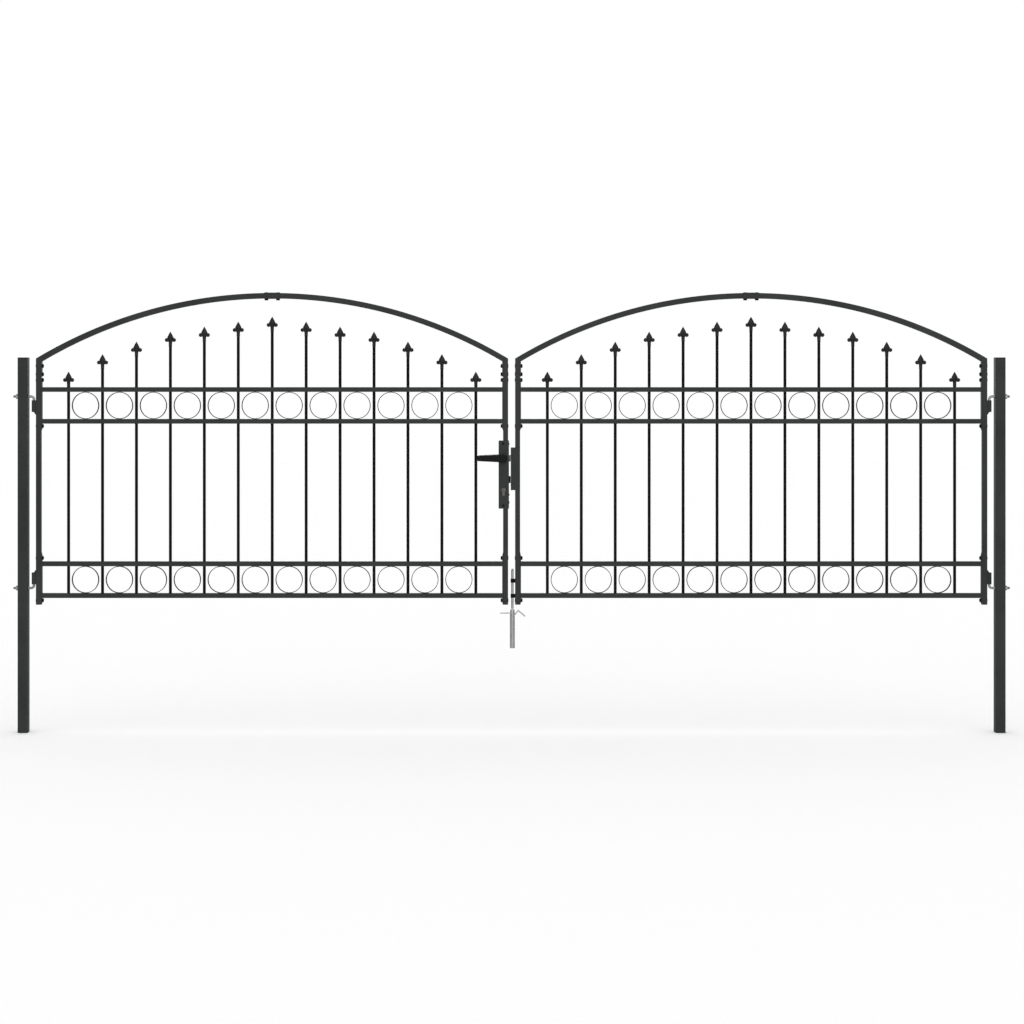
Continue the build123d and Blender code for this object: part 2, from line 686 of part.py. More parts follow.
# lock housing: an open-fronted box with slots for the bolts and pillars for the cover screws
with BuildPart() as housing:
    with BuildSketch(Plane.XZ.offset(-LOCK_REAR)):
        with Locations((LOCK_MID, LOCK_MID_Z)):
            RectangleRounded(LOCK_WIDTH, LOCK_HEIGHT, LOCK_CORNER)
    extrude(amount=LOCK_DEPTH - LOCK_WALL)
    with BuildSketch(Plane.XZ.offset(LOCK_WALL - LOCK_REAR)):
        with Locations((LOCK_MID, LOCK_MID_Z)):
            Rectangle(LOCK_WIDTH - 2 * LOCK_WALL, LOCK_HEIGHT - 2 * LOCK_WALL)
    extrude(amount=LOCK_DEPTH, mode=Mode.SUBTRACT)
    with BuildSketch(Plane.XZ.offset(LOCK_WALL - LOCK_REAR)):
        with Locations(*[(LOCK_MID, height) for height in COVER_SCREW_Z]):
            Circle(COVER_PILLAR / 2)
            Circle(SCREW_DIAMETER / 2 + RUN, mode=Mode.SUBTRACT)
    extrude(amount=LOCK_DEPTH - 2 * LOCK_WALL)
    with BuildSketch(Plane.XZ.offset(-LOCK_REAR)):
        with Locations((LOCK_AXIS, LEVER_Z)):
            Circle(LEVER_BOSS / 2 + RUN)
        with Locations((LOCK_AXIS, KEY_Z)):
            Circle(BARREL_DIAMETER / 2 + SEAT)
        with Locations((LOCK_AXIS, KEY_Z + (BARREL_DIAMETER - BARREL_HEIGHT) / 2)):
            SlotOverall(BARREL_HEIGHT + 2 * SEAT, BARREL_SLAB + 2 * SEAT, rotation=90)
    extrude(amount=LOCK_WALL, mode=Mode.SUBTRACT)
    with BuildSketch(Plane.YZ.offset(LOCK_FACE - LOCK_WALL)):
        with Locations((0, LEVER_Z)):
            Rectangle(LATCH_THICK + 2 * FREE, LATCH_SIDE)
        with Locations((0, DEAD_BOLT_Z)):
            Rectangle(DEAD_BOLT_THICK + 2 * FREE, DEAD_BOLT_SIDE)
        with Locations((0, CYLINDER_SCREW_Z), *[(0, height) for height in FOREND_SCREW_Z]):
            Circle(SCREW_DIAMETER / 2 + RUN)
    extrude(amount=LOCK_WALL, mode=Mode.SUBTRACT)
write(housing.part, "lock_housing")

# lock cover: the front plate of the box
with BuildPart() as cover:
    with BuildSketch(Plane.XZ.offset(LOCK_WALL - LOCK_REAR + LOCK_DEPTH - 2 * LOCK_WALL)):
        with Locations((LOCK_MID, LOCK_MID_Z)):
            RectangleRounded(LOCK_WIDTH, LOCK_HEIGHT, LOCK_CORNER)
        with Locations((LOCK_AXIS, LEVER_Z)):
            Circle(LEVER_BOSS / 2 + RUN, mode=Mode.SUBTRACT)
        with Locations((LOCK_AXIS, KEY_Z)):
            Circle(BARREL_DIAMETER / 2 + SEAT, mode=Mode.SUBTRACT)
        with Locations((LOCK_AXIS, KEY_Z + (BARREL_DIAMETER - BARREL_HEIGHT) / 2)):
            SlotOverall(
                BARREL_HEIGHT + 2 * SEAT, BARREL_SLAB + 2 * SEAT, rotation=90, mode=Mode.SUBTRACT
            )
        with Locations(*[(LOCK_MID, height) for height in COVER_SCREW_Z]):
            Circle(SCREW_DIAMETER / 2 + HOLE, mode=Mode.SUBTRACT)
    extrude(amount=LOCK_WALL)
write(cover.part, "lock_cover")

# forend: the plate that the bolts come out of
with BuildPart() as forend:
    with BuildSketch(Plane.YZ.offset(LOCK_FACE)):
        with Locations((0, LOCK_MID_Z)):
            Rectangle(LOCK_DEPTH, LOCK_HEIGHT)
        with Locations((0, LEVER_Z)):
            Rectangle(LATCH_THICK + 2 * FREE, LATCH_SIDE, mode=Mode.SUBTRACT)
        with Locations((0, DEAD_BOLT_Z)):
            Rectangle(DEAD_BOLT_THICK + 2 * FREE, DEAD_BOLT_SIDE, mode=Mode.SUBTRACT)
        with Locations((0, CYLINDER_SCREW_Z), *[(0, height) for height in FOREND_SCREW_Z]):
            Circle(SCREW_DIAMETER / 2 + HOLE, mode=Mode.SUBTRACT)
    extrude(amount=FOREND_THICK)
write(forend.part, "lock_forend")

# profile cylinder: barrel with a slab below it, open in the middle for the cam
with BuildPart() as cylinder:
    with BuildSketch(Plane.XZ):
        with Locations((LOCK_AXIS, KEY_Z)):
            Circle(BARREL_DIAMETER / 2)
        with Locations((LOCK_AXIS, KEY_Z + (BARREL_DIAMETER - BARREL_HEIGHT) / 2)):
            SlotOverall(BARREL_HEIGHT, BARREL_SLAB, rotation=90)
        with Locations((LOCK_AXIS, KEY_Z)):
            Circle(PLUG_DIAMETER / 2 + RUN, mode=Mode.SUBTRACT)
    extrude(amount=BARREL_LENGTH / 2, both=True)
    with BuildSketch(Plane.XZ):
        with Locations((LOCK_AXIS, BRIDGE_TOP + BARREL_HEIGHT / 2)):
            Rectangle(BARREL_DIAMETER + 2 * FREE, BARREL_HEIGHT)
    extrude(amount=CAM_THICK / 2 + FREE, both=True, mode=Mode.SUBTRACT)
    with BuildSketch(Plane.YZ.offset(LOCK_AXIS - BARREL_SLAB)):
        with Locations((0, CYLINDER_SCREW_Z)):
            Circle(SCREW_DIAMETER / 2 + RUN)
    extrude(amount=2 * BARREL_SLAB, mode=Mode.SUBTRACT)
write(cylinder.part, "lock_cylinder")

# key plug with its keyways and cam; the cam hangs down when the key is out
with BuildPart() as key_plug:
    with BuildSketch(Plane.XZ):
        with Locations((LOCK_AXIS, KEY_Z)):
            Circle(PLUG_DIAMETER / 2)
    extrude(amount=BARREL_LENGTH / 2, both=True)
    with BuildSketch(Plane.XZ):
        with Locations((LOCK_AXIS, KEY_Z)):
            Circle(CAM_HUB / 2)
        with Locations((LOCK_AXIS, KEY_Z - CAM_RADIUS / 2)):
            Rectangle(CAM_WIDTH, CAM_RADIUS - FREE)
    extrude(amount=CAM_THICK / 2, both=True)
    with BuildSketch(Plane.XZ.offset(BARREL_LENGTH / 2)):
        with Locations((LOCK_AXIS, KEY_Z)):
            Rectangle(KEYWAY_WIDTH, KEYWAY_HEIGHT)
    extrude(amount=-KEYWAY_DEPTH, mode=Mode.SUBTRACT)
    with BuildSketch(Plane.XZ.offset(-BARREL_LENGTH / 2)):
        with Locations((LOCK_AXIS, KEY_Z)):
            Rectangle(KEYWAY_WIDTH, KEYWAY_HEIGHT)
    extrude(amount=KEYWAY_DEPTH, mode=Mode.SUBTRACT)
write(key_plug.part, "key_plug")

# dead bolt: its tail stays clear of the cam's circle
with BuildPart() as dead_bolt:
    with BuildSketch(Plane.XZ):
        with BuildLine():
            back = -BOLT_GAP - DEAD_BOLT_LENGTH
            tail_foot = KEY_Z + CAM_RADIUS + 2 * CAM_ROOM
            Polyline(
                (-BOLT_GAP, DEAD_BOLT_Z - DEAD_BOLT_HEIGHT / 2),
                (-BOLT_GAP, DEAD_BOLT_Z + DEAD_BOLT_HEIGHT / 2),
                (back, DEAD_BOLT_Z + DEAD_BOLT_HEIGHT / 2),
                (back, tail_foot),
                (back + DEAD_BOLT_TAIL, tail_foot),
                (back + DEAD_BOLT_TAIL, DEAD_BOLT_Z - DEAD_BOLT_HEIGHT / 2),
                close=True,
            )
        make_face()
    extrude(amount=DEAD_BOLT_THICK / 2, both=True)
write(dead_bolt.part, "dead_bolt")

# latch bolt: its head passes the forend and its roof carries the notch for the follower's arm
heel = LOCK_AXIS + FOLLOWER_RADIUS + 2 * FREE + LATCH_TRAVEL
shoulder = LOCK_FACE - LOCK_WALL - FREE
lug = LOCK_AXIS - FOLLOWER_ARM_WIDTH / 2 - CAM_ROOM
lug_end = LOCK_AXIS - FOLLOWER_RADIUS
notch_end = LOCK_AXIS + FOLLOWER_ARM_WIDTH
spring_z = LEVER_Z + (LATCH_ROOF + LATCH_TOP) / 2
spring_seat = LOCK_AXIS + FOLLOWER_ARM_WIDTH / 2
with BuildPart() as latch:
    with BuildSketch(Plane.XZ):
        with BuildLine():
            Polyline(
                (-BOLT_GAP, LEVER_Z - LATCH_HEIGHT / 2),
                (-BOLT_GAP, LEVER_Z + LATCH_HEIGHT / 2),
                (shoulder, LEVER_Z + LATCH_HEIGHT / 2),
                (shoulder, LEVER_Z + LATCH_TOP),
                (lug_end, LEVER_Z + LATCH_TOP),
                (lug_end, LEVER_Z + LATCH_NOTCH),
                (lug, LEVER_Z + LATCH_NOTCH),
                (lug, LEVER_Z + LATCH_ROOF),
                (notch_end, LEVER_Z + LATCH_ROOF),
                (notch_end, LEVER_Z + LATCH_NOTCH),
                (heel, LEVER_Z + LATCH_NOTCH),
                (heel, LEVER_Z - LATCH_HEIGHT / 2),
                close=True,
            )
        make_face()
    extrude(amount=LATCH_THICK / 2, both=True)
    bevelled = latch.edges().filter_by(Axis.Z).sort_by(Axis.X)[-2:].sort_by(Axis.Y)[0]
    chamfer(bevelled, length=LATCH_BEVEL)
    with BuildSketch(Plane.YZ.offset(lug_end)):
        with Locations((0, spring_z)):
            Circle(SPRING_BORE / 2)
    extrude(amount=spring_seat - lug_end, mode=Mode.SUBTRACT)
write(latch.part, "latch_bolt")

# latch spring, between the housing's back wall and the latch
spring_back = LOCK_BACK + LOCK_WALL + SPRING_WIRE / 2
spring_span = spring_seat - FREE - SPRING_WIRE / 2 - spring_back
with BuildPart() as spring:
    with BuildLine() as coil:
        Helix(
            pitch=spring_span / SPRING_TURNS,
            height=spring_span,
            radius=SPRING_MEAN / 2,
            center=(spring_back, 0, spring_z),
            direction=(1, 0, 0),
        )
    with BuildSketch(Plane(origin=coil.line @ 0, z_dir=coil.line % 0)):
        Circle(SPRING_WIRE / 2)
    sweep(path=coil.line, is_frenet=True)
write(spring.part, "latch_spring")

# follower: the hub that the spindle turns, with an arm up to the latch
follower_half = LOCK_DEPTH / 2 - LOCK_WALL - 2 * FREE
with BuildPart() as follower:
    with BuildSketch(Plane.XZ):
        with Locations((LOCK_AXIS, LEVER_Z)):
            Circle(FOLLOWER_RADIUS)
    extrude(amount=follower_half, both=True)
    with BuildSketch(Plane.XZ):
        with Locations((LOCK_AXIS, LEVER_Z + FOLLOWER_ARM / 2)):
            Rectangle(FOLLOWER_ARM_WIDTH, FOLLOWER_ARM)
    extrude(amount=FOLLOWER_ARM_WIDTH / 2, both=True)
    with BuildSketch(Plane.XZ):
        with Locations((LOCK_AXIS, LEVER_Z)):
            Rectangle(SPINDLE_SIZE + 2 * RUN, SPINDLE_SIZE + 2 * RUN)
    extrude(amount=follower_half, both=True, mode=Mode.SUBTRACT)
write(follower.part, "lock_follower")

# square spindle through the follower and both levers
with BuildPart() as spindle:
    with BuildSketch(Plane.XZ):
        with Locations((LOCK_AXIS, LEVER_Z)):
            Rectangle(SPINDLE_SIZE, SPINDLE_SIZE)
    extrude(amount=SPINDLE_REACH, both=True)
write(spindle.part, "lock_spindle")

# levers: a boss in the plate, a neck, and a grip that points away from the meeting stile
lever_seat = LOCK_DEPTH / 2 + FREE
grip_near = lever_seat + LEVER_NECK
grip_mid = grip_near + LEVER_GRIP / 2
with BuildPart() as lever:
    with BuildSketch(Plane.XZ.offset(grip_near)):
        with BuildLine():
            tip_x = LOCK_AXIS - LEVER_LENGTH
            Polyline(
                (tip_x + LEVER_TIP, LEVER_Z + LEVER_TIP),
                (LOCK_AXIS, LEVER_Z + LEVER_HEEL),
            )
            ThreePointArc(
                (LOCK_AXIS, LEVER_Z + LEVER_HEEL),
                (LOCK_AXIS + LEVER_HEEL, LEVER_Z),
                (LOCK_AXIS, LEVER_Z - LEVER_HEEL),
            )
            Polyline(
                (LOCK_AXIS, LEVER_Z - LEVER_HEEL),
                (tip_x + LEVER_TIP, LEVER_Z - LEVER_TIP),
            )
            ThreePointArc(
                (tip_x + LEVER_TIP, LEVER_Z - LEVER_TIP),
                (tip_x, LEVER_Z),
                (tip_x + LEVER_TIP, LEVER_Z + LEVER_TIP),
            )
        make_face()
    extrude(amount=LEVER_GRIP)
    fillet(lever.faces().filter_by(Axis.Y).edges(), radius=LEVER_ROUND)
    with BuildSketch(Plane.XZ.offset(lever_seat)):
        with Locations((LOCK_AXIS, LEVER_Z)):
            Circle(LEVER_HUB / 2)
    extrude(amount=LEVER_NECK + LEVER_ROUND)
    with BuildSketch(Plane.XZ.offset(follower_half + FREE)):
        with Locations((LOCK_AXIS, LEVER_Z)):
            Circle(LEVER_BOSS / 2)
    extrude(amount=lever_seat - follower_half - FREE)
    with BuildSketch(Plane.XZ):
        with Locations((LOCK_AXIS, LEVER_Z)):
            Rectangle(SPINDLE_SIZE + 2 * RUN, SPINDLE_SIZE + 2 * RUN)
    extrude(amount=SPINDLE_REACH, mode=Mode.SUBTRACT)
write(lever.part, "front_lever")

with BuildPart() as back_lever:
    mirror(lever.part, about=Plane.XZ)
write(back_lever.part, "back_lever")

# lock screws: two in the forend, one for the cylinder, two in the cover
with BuildPart() as lock_screws:
    with BuildSketch(Plane.YZ.offset(FOREND_FACE)):
        with Locations((0, CYLINDER_SCREW_Z), *[(0, height) for height in FOREND_SCREW_Z]):
            Circle(SCREW_HEAD / 2)
    extrude(amount=SCREW_HEAD_HEIGHT)
    with BuildSketch(Plane.YZ.offset(FOREND_FACE)):
        with Locations(*[(0, height) for height in FOREND_SCREW_Z]):
            Circle(SCREW_DIAMETER / 2)
    extrude(amount=-FOREND_SCREW_LENGTH)
    with BuildSketch(Plane.YZ.offset(FOREND_FACE)):
        with Locations((0, CYLINDER_SCREW_Z)):
            Circle(SCREW_DIAMETER / 2)
    extrude(amount=-CYLINDER_SCREW_LENGTH)
    with BuildSketch(Plane.XZ.offset(LOCK_REAR)):
        with Locations(*[(LOCK_MID, height) for height in COVER_SCREW_Z]):
            Circle(SCREW_HEAD / 2)
    extrude(amount=SCREW_HEAD_HEIGHT)
    with BuildSketch(Plane.XZ.offset(LOCK_REAR)):
        with Locations(*[(LOCK_MID, height) for height in COVER_SCREW_Z]):
            Circle(SCREW_DIAMETER / 2)
    extrude(amount=-COVER_SCREW_LENGTH)
write(lock_screws.part, "lock_screws")

# strike box: a channel over the right meeting stile, with a hole for each bolt
strike_mid = (STRIKE_BOTTOM + STRIKE_TOP) / 2
strike_tall = STRIKE_TOP - STRIKE_BOTTOM
with BuildPart() as strike:
    with BuildSketch(Plane.XY.offset(STRIKE_BOTTOM)):
        with Locations(((FRAME_IN - STRIKE_FACE) / 2, 0)):
            Rectangle(FRAME_IN + STRIKE_FACE, STILE_SIZE + 2 * STRIKE_WALL)
        with Locations(((FRAME_IN - STRIKE_FACE) / 2 + STRIKE_WALL, 0)):
            Rectangle(FRAME_IN + STRIKE_FACE, STILE_SIZE, mode=Mode.SUBTRACT)
    extrude(amount=strike_tall)
    with BuildSketch(Plane.YZ.offset(-STRIKE_FACE)):
        with Locations((0, LEVER_Z)):
            Rectangle(LATCH_THICK + 2 * STRIKE_ROOM, LATCH_HEIGHT + 2 * STRIKE_ROOM)
        with Locations((0, DEAD_BOLT_Z)):
            Rectangle(DEAD_BOLT_THICK + 2 * STRIKE_ROOM, DEAD_BOLT_HEIGHT + 2 * STRIKE_ROOM)
    extrude(amount=STRIKE_WALL, mode=Mode.SUBTRACT)
write(strike.part, "strike_box")

# drop bolt keepers on the right meeting stile
with BuildPart() as keepers:
    for height in KEEPER_Z:
        with BuildSketch(Plane.XY.offset(height - KEEPER_HEIGHT / 2)):
            with Locations((DROP_X, 0)):
                Circle(KEEPER_DIAMETER / 2)
            with Locations(((DROP_X + LEAF_IN) / 2, 0)):
                Rectangle(LEAF_IN - DROP_X, KEEPER_FOOT)
            with Locations((DROP_X, 0)):
                Circle(DROP_ROD / 2 + RUN, mode=Mode.SUBTRACT)
        extrude(amount=KEEPER_HEIGHT)
write(keepers.part, "drop_bolt_keepers")

# drop bolt: drawn raised, clear of its socket, with a handle bent to the rear
handle_z = KEEPER_Z[0] + KEEPER_HEIGHT / 2 + DROP_BEND + DROP_TRAVEL + SEAT
with BuildPart() as drop_bolt:
    with BuildLine() as drop_path:
        FilletPolyline(
            (DROP_X, 0, DROP_TIP),
            (DROP_X, 0, handle_z),
            (DROP_X, DROP_HANDLE, handle_z),
            radius=DROP_BEND,
        )
    with BuildSketch(Plane.XY.offset(DROP_TIP)):
        with Locations((DROP_X, 0)):
            Circle(DROP_ROD / 2)
    sweep(path=drop_path.line)
    chamfer(drop_bolt.faces().sort_by(Axis.Z)[0].edges(), length=HOOK_CHAMFER)
    chamfer(drop_bolt.faces().sort_by(Axis.Y)[-1].edges(), length=HOOK_CHAMFER)
write(drop_bolt.part, "drop_bolt")

# ground socket: a tube with a coned mouth at ground level
with BuildPart() as socket:
    with BuildSketch(Plane.XZ):
        with BuildLine():
            tube_in = SOCKET_DIAMETER / 2 - SOCKET_WALL
            Polyline(
                (SOCKET_MOUTH / 2, 0),
                (SOCKET_LIP / 2, 0),
                (SOCKET_DIAMETER / 2, -SOCKET_CONE),
                (SOCKET_DIAMETER / 2, -SOCKET_DEPTH),
                (tube_in, -SOCKET_DEPTH),
                (tube_in, -SOCKET_CONE),
                close=True,
            )
        make_face()
    revolve(axis=Axis.Z)

with BuildPart() as ground_socket:
    with Locations((DROP_X, 0, 0)):
        add(socket.part)
write(ground_socket.part, "ground_socket")

# anchor straps on the socket, cut to its outside
with BuildPart() as straps:
    for route in (LEFT_STRAP, RIGHT_STRAP):
        with BuildSketch(Plane.XZ):
            with BuildLine():
                Polyline(*route)
            trace(line_width=STRAP_THICK)
        extrude(amount=STRAP_WIDTH / 2, both=True)
    with BuildSketch(Plane.XZ.offset(0)) as envelope:
        with BuildLine():
            Polyline(
                (DROP_X, 0),
                (DROP_X + SOCKET_LIP / 2, 0),
                (DROP_X + SOCKET_DIAMETER / 2, -SOCKET_CONE),
                (DROP_X + SOCKET_DIAMETER / 2, -SOCKET_DEPTH),
                (DROP_X, -SOCKET_DEPTH),
                close=True,
            )
        make_face()
    revolve(axis=Axis((DROP_X, 0, 0), (0, 0, 1)), mode=Mode.SUBTRACT)
write(straps.part, "ground_anchors")
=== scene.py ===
"""Looks of a double-leaf garden gate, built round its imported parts.

The right-hand half is modelled and mirrored wherever the two leaves are alike. Metres, +Z up.
"""

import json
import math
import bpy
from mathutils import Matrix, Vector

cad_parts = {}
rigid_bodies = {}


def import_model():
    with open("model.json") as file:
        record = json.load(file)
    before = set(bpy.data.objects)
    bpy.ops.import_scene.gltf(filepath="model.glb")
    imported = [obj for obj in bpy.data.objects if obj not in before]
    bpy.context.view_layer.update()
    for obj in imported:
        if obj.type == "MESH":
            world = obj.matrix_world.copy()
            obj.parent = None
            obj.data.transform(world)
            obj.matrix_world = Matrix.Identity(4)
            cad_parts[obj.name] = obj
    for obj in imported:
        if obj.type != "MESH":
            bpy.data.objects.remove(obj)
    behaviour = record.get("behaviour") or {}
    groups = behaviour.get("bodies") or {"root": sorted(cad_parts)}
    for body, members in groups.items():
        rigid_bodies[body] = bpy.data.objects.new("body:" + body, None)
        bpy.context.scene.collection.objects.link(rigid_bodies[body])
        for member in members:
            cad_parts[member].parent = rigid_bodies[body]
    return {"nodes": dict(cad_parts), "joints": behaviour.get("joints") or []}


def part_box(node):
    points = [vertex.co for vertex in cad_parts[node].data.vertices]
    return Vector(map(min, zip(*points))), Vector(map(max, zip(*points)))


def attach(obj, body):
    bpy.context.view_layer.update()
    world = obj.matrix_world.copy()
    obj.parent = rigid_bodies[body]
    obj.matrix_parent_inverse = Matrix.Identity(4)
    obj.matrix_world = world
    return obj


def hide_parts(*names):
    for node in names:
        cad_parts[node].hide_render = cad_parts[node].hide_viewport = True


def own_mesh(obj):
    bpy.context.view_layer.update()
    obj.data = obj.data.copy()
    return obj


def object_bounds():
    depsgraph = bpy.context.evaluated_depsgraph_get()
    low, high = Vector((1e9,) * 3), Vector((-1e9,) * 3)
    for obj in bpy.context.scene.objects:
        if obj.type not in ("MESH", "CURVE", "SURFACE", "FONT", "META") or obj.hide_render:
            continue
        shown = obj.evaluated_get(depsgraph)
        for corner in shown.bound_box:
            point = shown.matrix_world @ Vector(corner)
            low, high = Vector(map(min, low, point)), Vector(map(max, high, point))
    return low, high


bl_info = {
    "name": "Double-leaf garden gate",
    "version": (1, 0, 0),
    "blender": (4, 5, 0),
    "location": "View3D > Sidebar > Gate",
    "description": "Models the posts, leaves, lock and drop bolt of a garden gate",
    "category": "Object",
}

import bpy
from bpy.props import FloatProperty, FloatVectorProperty, IntProperty, PointerProperty
from mathutils import Vector

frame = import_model()
CAD_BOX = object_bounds()
MM = 0.001
MERGE = 1e-6
FACING = 0.9
X, Y, Z = Vector((1, 0, 0)), Vector((0, 1, 0)), Vector((0, 0, 1))

# measures that the looks share with the solids
ARCH_DEPTH = 22 * MM
SPEAR_SEAT = 44 * MM
# millimetres that the tips fall from the middle bar outwards
TIP_DROPS = (0, 20, 40, 60, 100, 150, 220)
# millimetres from a stile's corner, and from the middle of each rail, to the bolts
CORNER_BOLT_DROPS = (30, 63)
RAIL_BOLT_STEPS = {"top": 38, "upper": -19, "lower": 23, "bottom": -19}


class GateSizes(bpy.types.PropertyGroup):
    """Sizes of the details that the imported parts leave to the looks."""

    post_corner: FloatProperty(
        name="Post corner",
        description="Radius of the posts' long edges",
        default=4 * MM,
        unit="LENGTH",
    )
    post_wall: FloatProperty(
        name="Post wall",
        description="Wall of the post tube",
        default=2 * MM,
        unit="LENGTH",
    )
    stile_corner: FloatProperty(
        name="Frame corner",
        description="Radius of the stiles' and arches' edges",
        default=2 * MM,
        unit="LENGTH",
    )
    rail_corner: FloatProperty(
        name="Rail corner",
        description="Radius of the rails' long edges",
        default=1.5 * MM,
        unit="LENGTH",
    )
    bar_diameter: FloatProperty(
        name="Bar diameter",
        description="Diameter of the upright bars",
        default=12 * MM,
        unit="LENGTH",
    )
    bar_sides: IntProperty(
        name="Bar sides",
        description="Facets round each upright bar",
        default=24,
        min=8,
    )
    ring_strip: FloatProperty(
        name="Ring strip",
        description="Thickness of the rings' strip",
        default=2.5 * MM,
        unit="LENGTH",
    )
    ring_sides: IntProperty(
        name="Ring sides",
        description="Facets round each ring",
        default=64,
        min=16,
    )
    hook_rod: FloatProperty(
        name="Hook rod",
        description="Diameter of the hinge hooks",
        default=10 * MM,
        unit="LENGTH",
    )
    hook_bend: FloatProperty(
        name="Hook bend",
        description="Radius of the hooks' bend",
        default=11 * MM,
        unit="LENGTH",
    )
    thread_pitch: FloatProperty(
        name="Thread pitch",
        description="Pitch of the hooks' thread",
        default=1.5 * MM,
        unit="LENGTH",
    )
    broken_edge: FloatProperty(
        name="Broken edge",
        description="Width of the edge on cut plate",
        default=0.4 * MM,
        unit="LENGTH",
    )


class GateColours(bpy.types.PropertyGroup):
    """Colours of the finishes."""

    frame_coat: FloatVectorProperty(
        name="Frame coat",
        description="Powder coat of the frame and posts",
        subtype="COLOR",
        default=(0.0224, 0.0240, 0.0236),
    )
    bar_coat: FloatVectorProperty(
        name="Bar coat",
        description="Coat of the bars, rings and fasteners",
        subtype="COLOR",
        default=(0.0045, 0.0046, 0.0047),
    )
    # the spear heads' coat is the black bar coat made lighter: a painted highlight over the heads
    head_coat_painted_highlight: FloatVectorProperty(
        name="Head coat",
        description="Coat of the cast spear heads",
        subtype="COLOR",
        default=(0.0125, 0.0129, 0.0130),
    )
    lever_coat: FloatVectorProperty(
        name="Lever coat",
        description="Coat of the lock's levers",
        subtype="COLOR",
        default=(0.0046, 0.0047, 0.0048),
    )
    zinc: FloatVectorProperty(
        name="Zinc",
        description="Zinc plate of the hinge rods and bolts",
        subtype="COLOR",
        default=(0.245, 0.248, 0.253),
    )
    cap: FloatVectorProperty(
        name="Cap",
        description="Plastic of the post caps",
        subtype="COLOR",
        default=(0.0070, 0.0071, 0.0073),
    )
    nickel: FloatVectorProperty(
        name="Nickel",
        description="Plate of the lock cylinder",
        subtype="COLOR",
        default=(0.045, 0.044, 0.042),
    )
    floor: FloatVectorProperty(
        name="Floor",
        description="Studio floor",
        subtype="COLOR",
        default=(0.998, 0.998, 0.998),
    )


def sizes():
    return bpy.context.scene.gate_sizes


def colours():
    return bpy.context.scene.gate_colours


# selection and editing


def rest():
    """Back to object mode with nothing selected."""
    if bpy.context.object and bpy.context.object.mode != "OBJECT":
        bpy.ops.object.mode_set(mode="OBJECT")
    bpy.ops.object.select_all(action="DESELECT")


def take(*pieces):
    """Selects pieces, the first one active."""
    rest()
    for piece in pieces:
        piece.select_set(True)
    bpy.context.view_layer.objects.active = pieces[0]


def edit(piece, kind="FACE", action="SELECT"):
    take(piece)
    bpy.ops.object.mode_set(mode="EDIT")
    bpy.ops.mesh.select_mode(type=kind)
    bpy.ops.mesh.select_all(action=action)


def leave():
    bpy.ops.object.mode_set(mode="OBJECT")


def pick_edges(piece, test):
    """Opens a piece with the edges selected whose two ends pass the test."""
    edit(piece, "EDGE", "DESELECT")
    leave()
    points = piece.data.vertices
    for edge in piece.data.edges:
        edge.select = test(points[edge.vertices[0]].co, points[edge.vertices[1]].co)
    bpy.ops.object.mode_set(mode="EDIT")


def pick_faces(piece, test):
    """Opens a piece with the faces selected whose middle and normal pass the test."""
    edit(piece, "FACE", "DESELECT")
    leave()
    for face in piece.data.polygons:
        face.select = test(face.center, face.normal)
    bpy.ops.object.mode_set(mode="EDIT")


def round_edges(piece, test, radius, steps):
    pick_edges(piece, test)
    bpy.ops.mesh.bevel(offset=radius, segments=steps, affect="EDGES", profile=0.5)
    leave()


def along(direction):
    """A test for edges that run along a direction."""
    return lambda a, b: abs((b - a).normalized().dot(direction)) > 0.999


def across(direction):
    """A test for edges that run across a direction."""
    return lambda a, b: abs((b - a).normalized().dot(direction)) < 0.5


def topmost(height):
    """A test for edges at a piece's top."""
    return lambda a, b: min(a.z, b.z) > height - 0.1 * MM


def round_the_rim(a, b):
    """Passes the edges that run round a ring standing on the Z axis."""
    return abs(a.z - b.z) < MERGE and abs(a.length - b.length) < MERGE


def hollow(piece, direction, wall, depth):
    """Opens a tube's end that faces a direction."""
    pick_faces(piece, lambda centre, normal: normal.dot(direction) > FACING)
    bpy.ops.mesh.inset(thickness=wall)
    bpy.ops.mesh.extrude_region_move(TRANSFORM_OT_translate={"value": direction * -depth})
    leave()


def cut(piece, point, normal):
    """Cuts off what lies on the normal's side of a plane and closes the cut."""
    edit(piece)
    bpy.ops.mesh.bisect(
        plane_co=point,
        plane_no=Vector(normal).normalized(),
        use_fill=True,
        clear_outer=True,
        threshold=MERGE,
    )
    leave()


def tidy_normals(piece):
    edit(piece)
    bpy.ops.mesh.remove_doubles(threshold=MERGE)
    bpy.ops.mesh.normals_make_consistent(inside=False)
    leave()


# starting shapes and copies


def block(low, high):
    rest()
    low, high = Vector(low), Vector(high)
    bpy.ops.mesh.primitive_cube_add(size=1, location=(low + high) / 2)
    piece = bpy.context.object
    piece.scale = high - low
    bpy.ops.object.transform_apply(location=True, rotation=True, scale=True)
    return piece


def rod(start, end, radius, sides=24, chamfer=0.0, steps=2):
    """A round rod between two points, its ends chamfered or rounded."""
    rest()
    start, end = Vector(start), Vector(end)
    run = end - start
    bpy.ops.mesh.primitive_cylinder_add(
        vertices=sides,
        radius=radius,
        depth=run.length,
        location=(start + end) / 2,
        rotation=run.to_track_quat("Z", "Y").to_euler(),
    )
    piece = bpy.context.object
    bpy.ops.object.transform_apply(location=True, rotation=True, scale=True)
    if chamfer:
        round_edges(piece, across(run.normalized()), chamfer, steps)
    return piece


def hexagon(start, end, flats):
    """A six-sided nut between two points, measured across its flats."""
    return rod(start, end, flats / math.sqrt(3), sides=6)


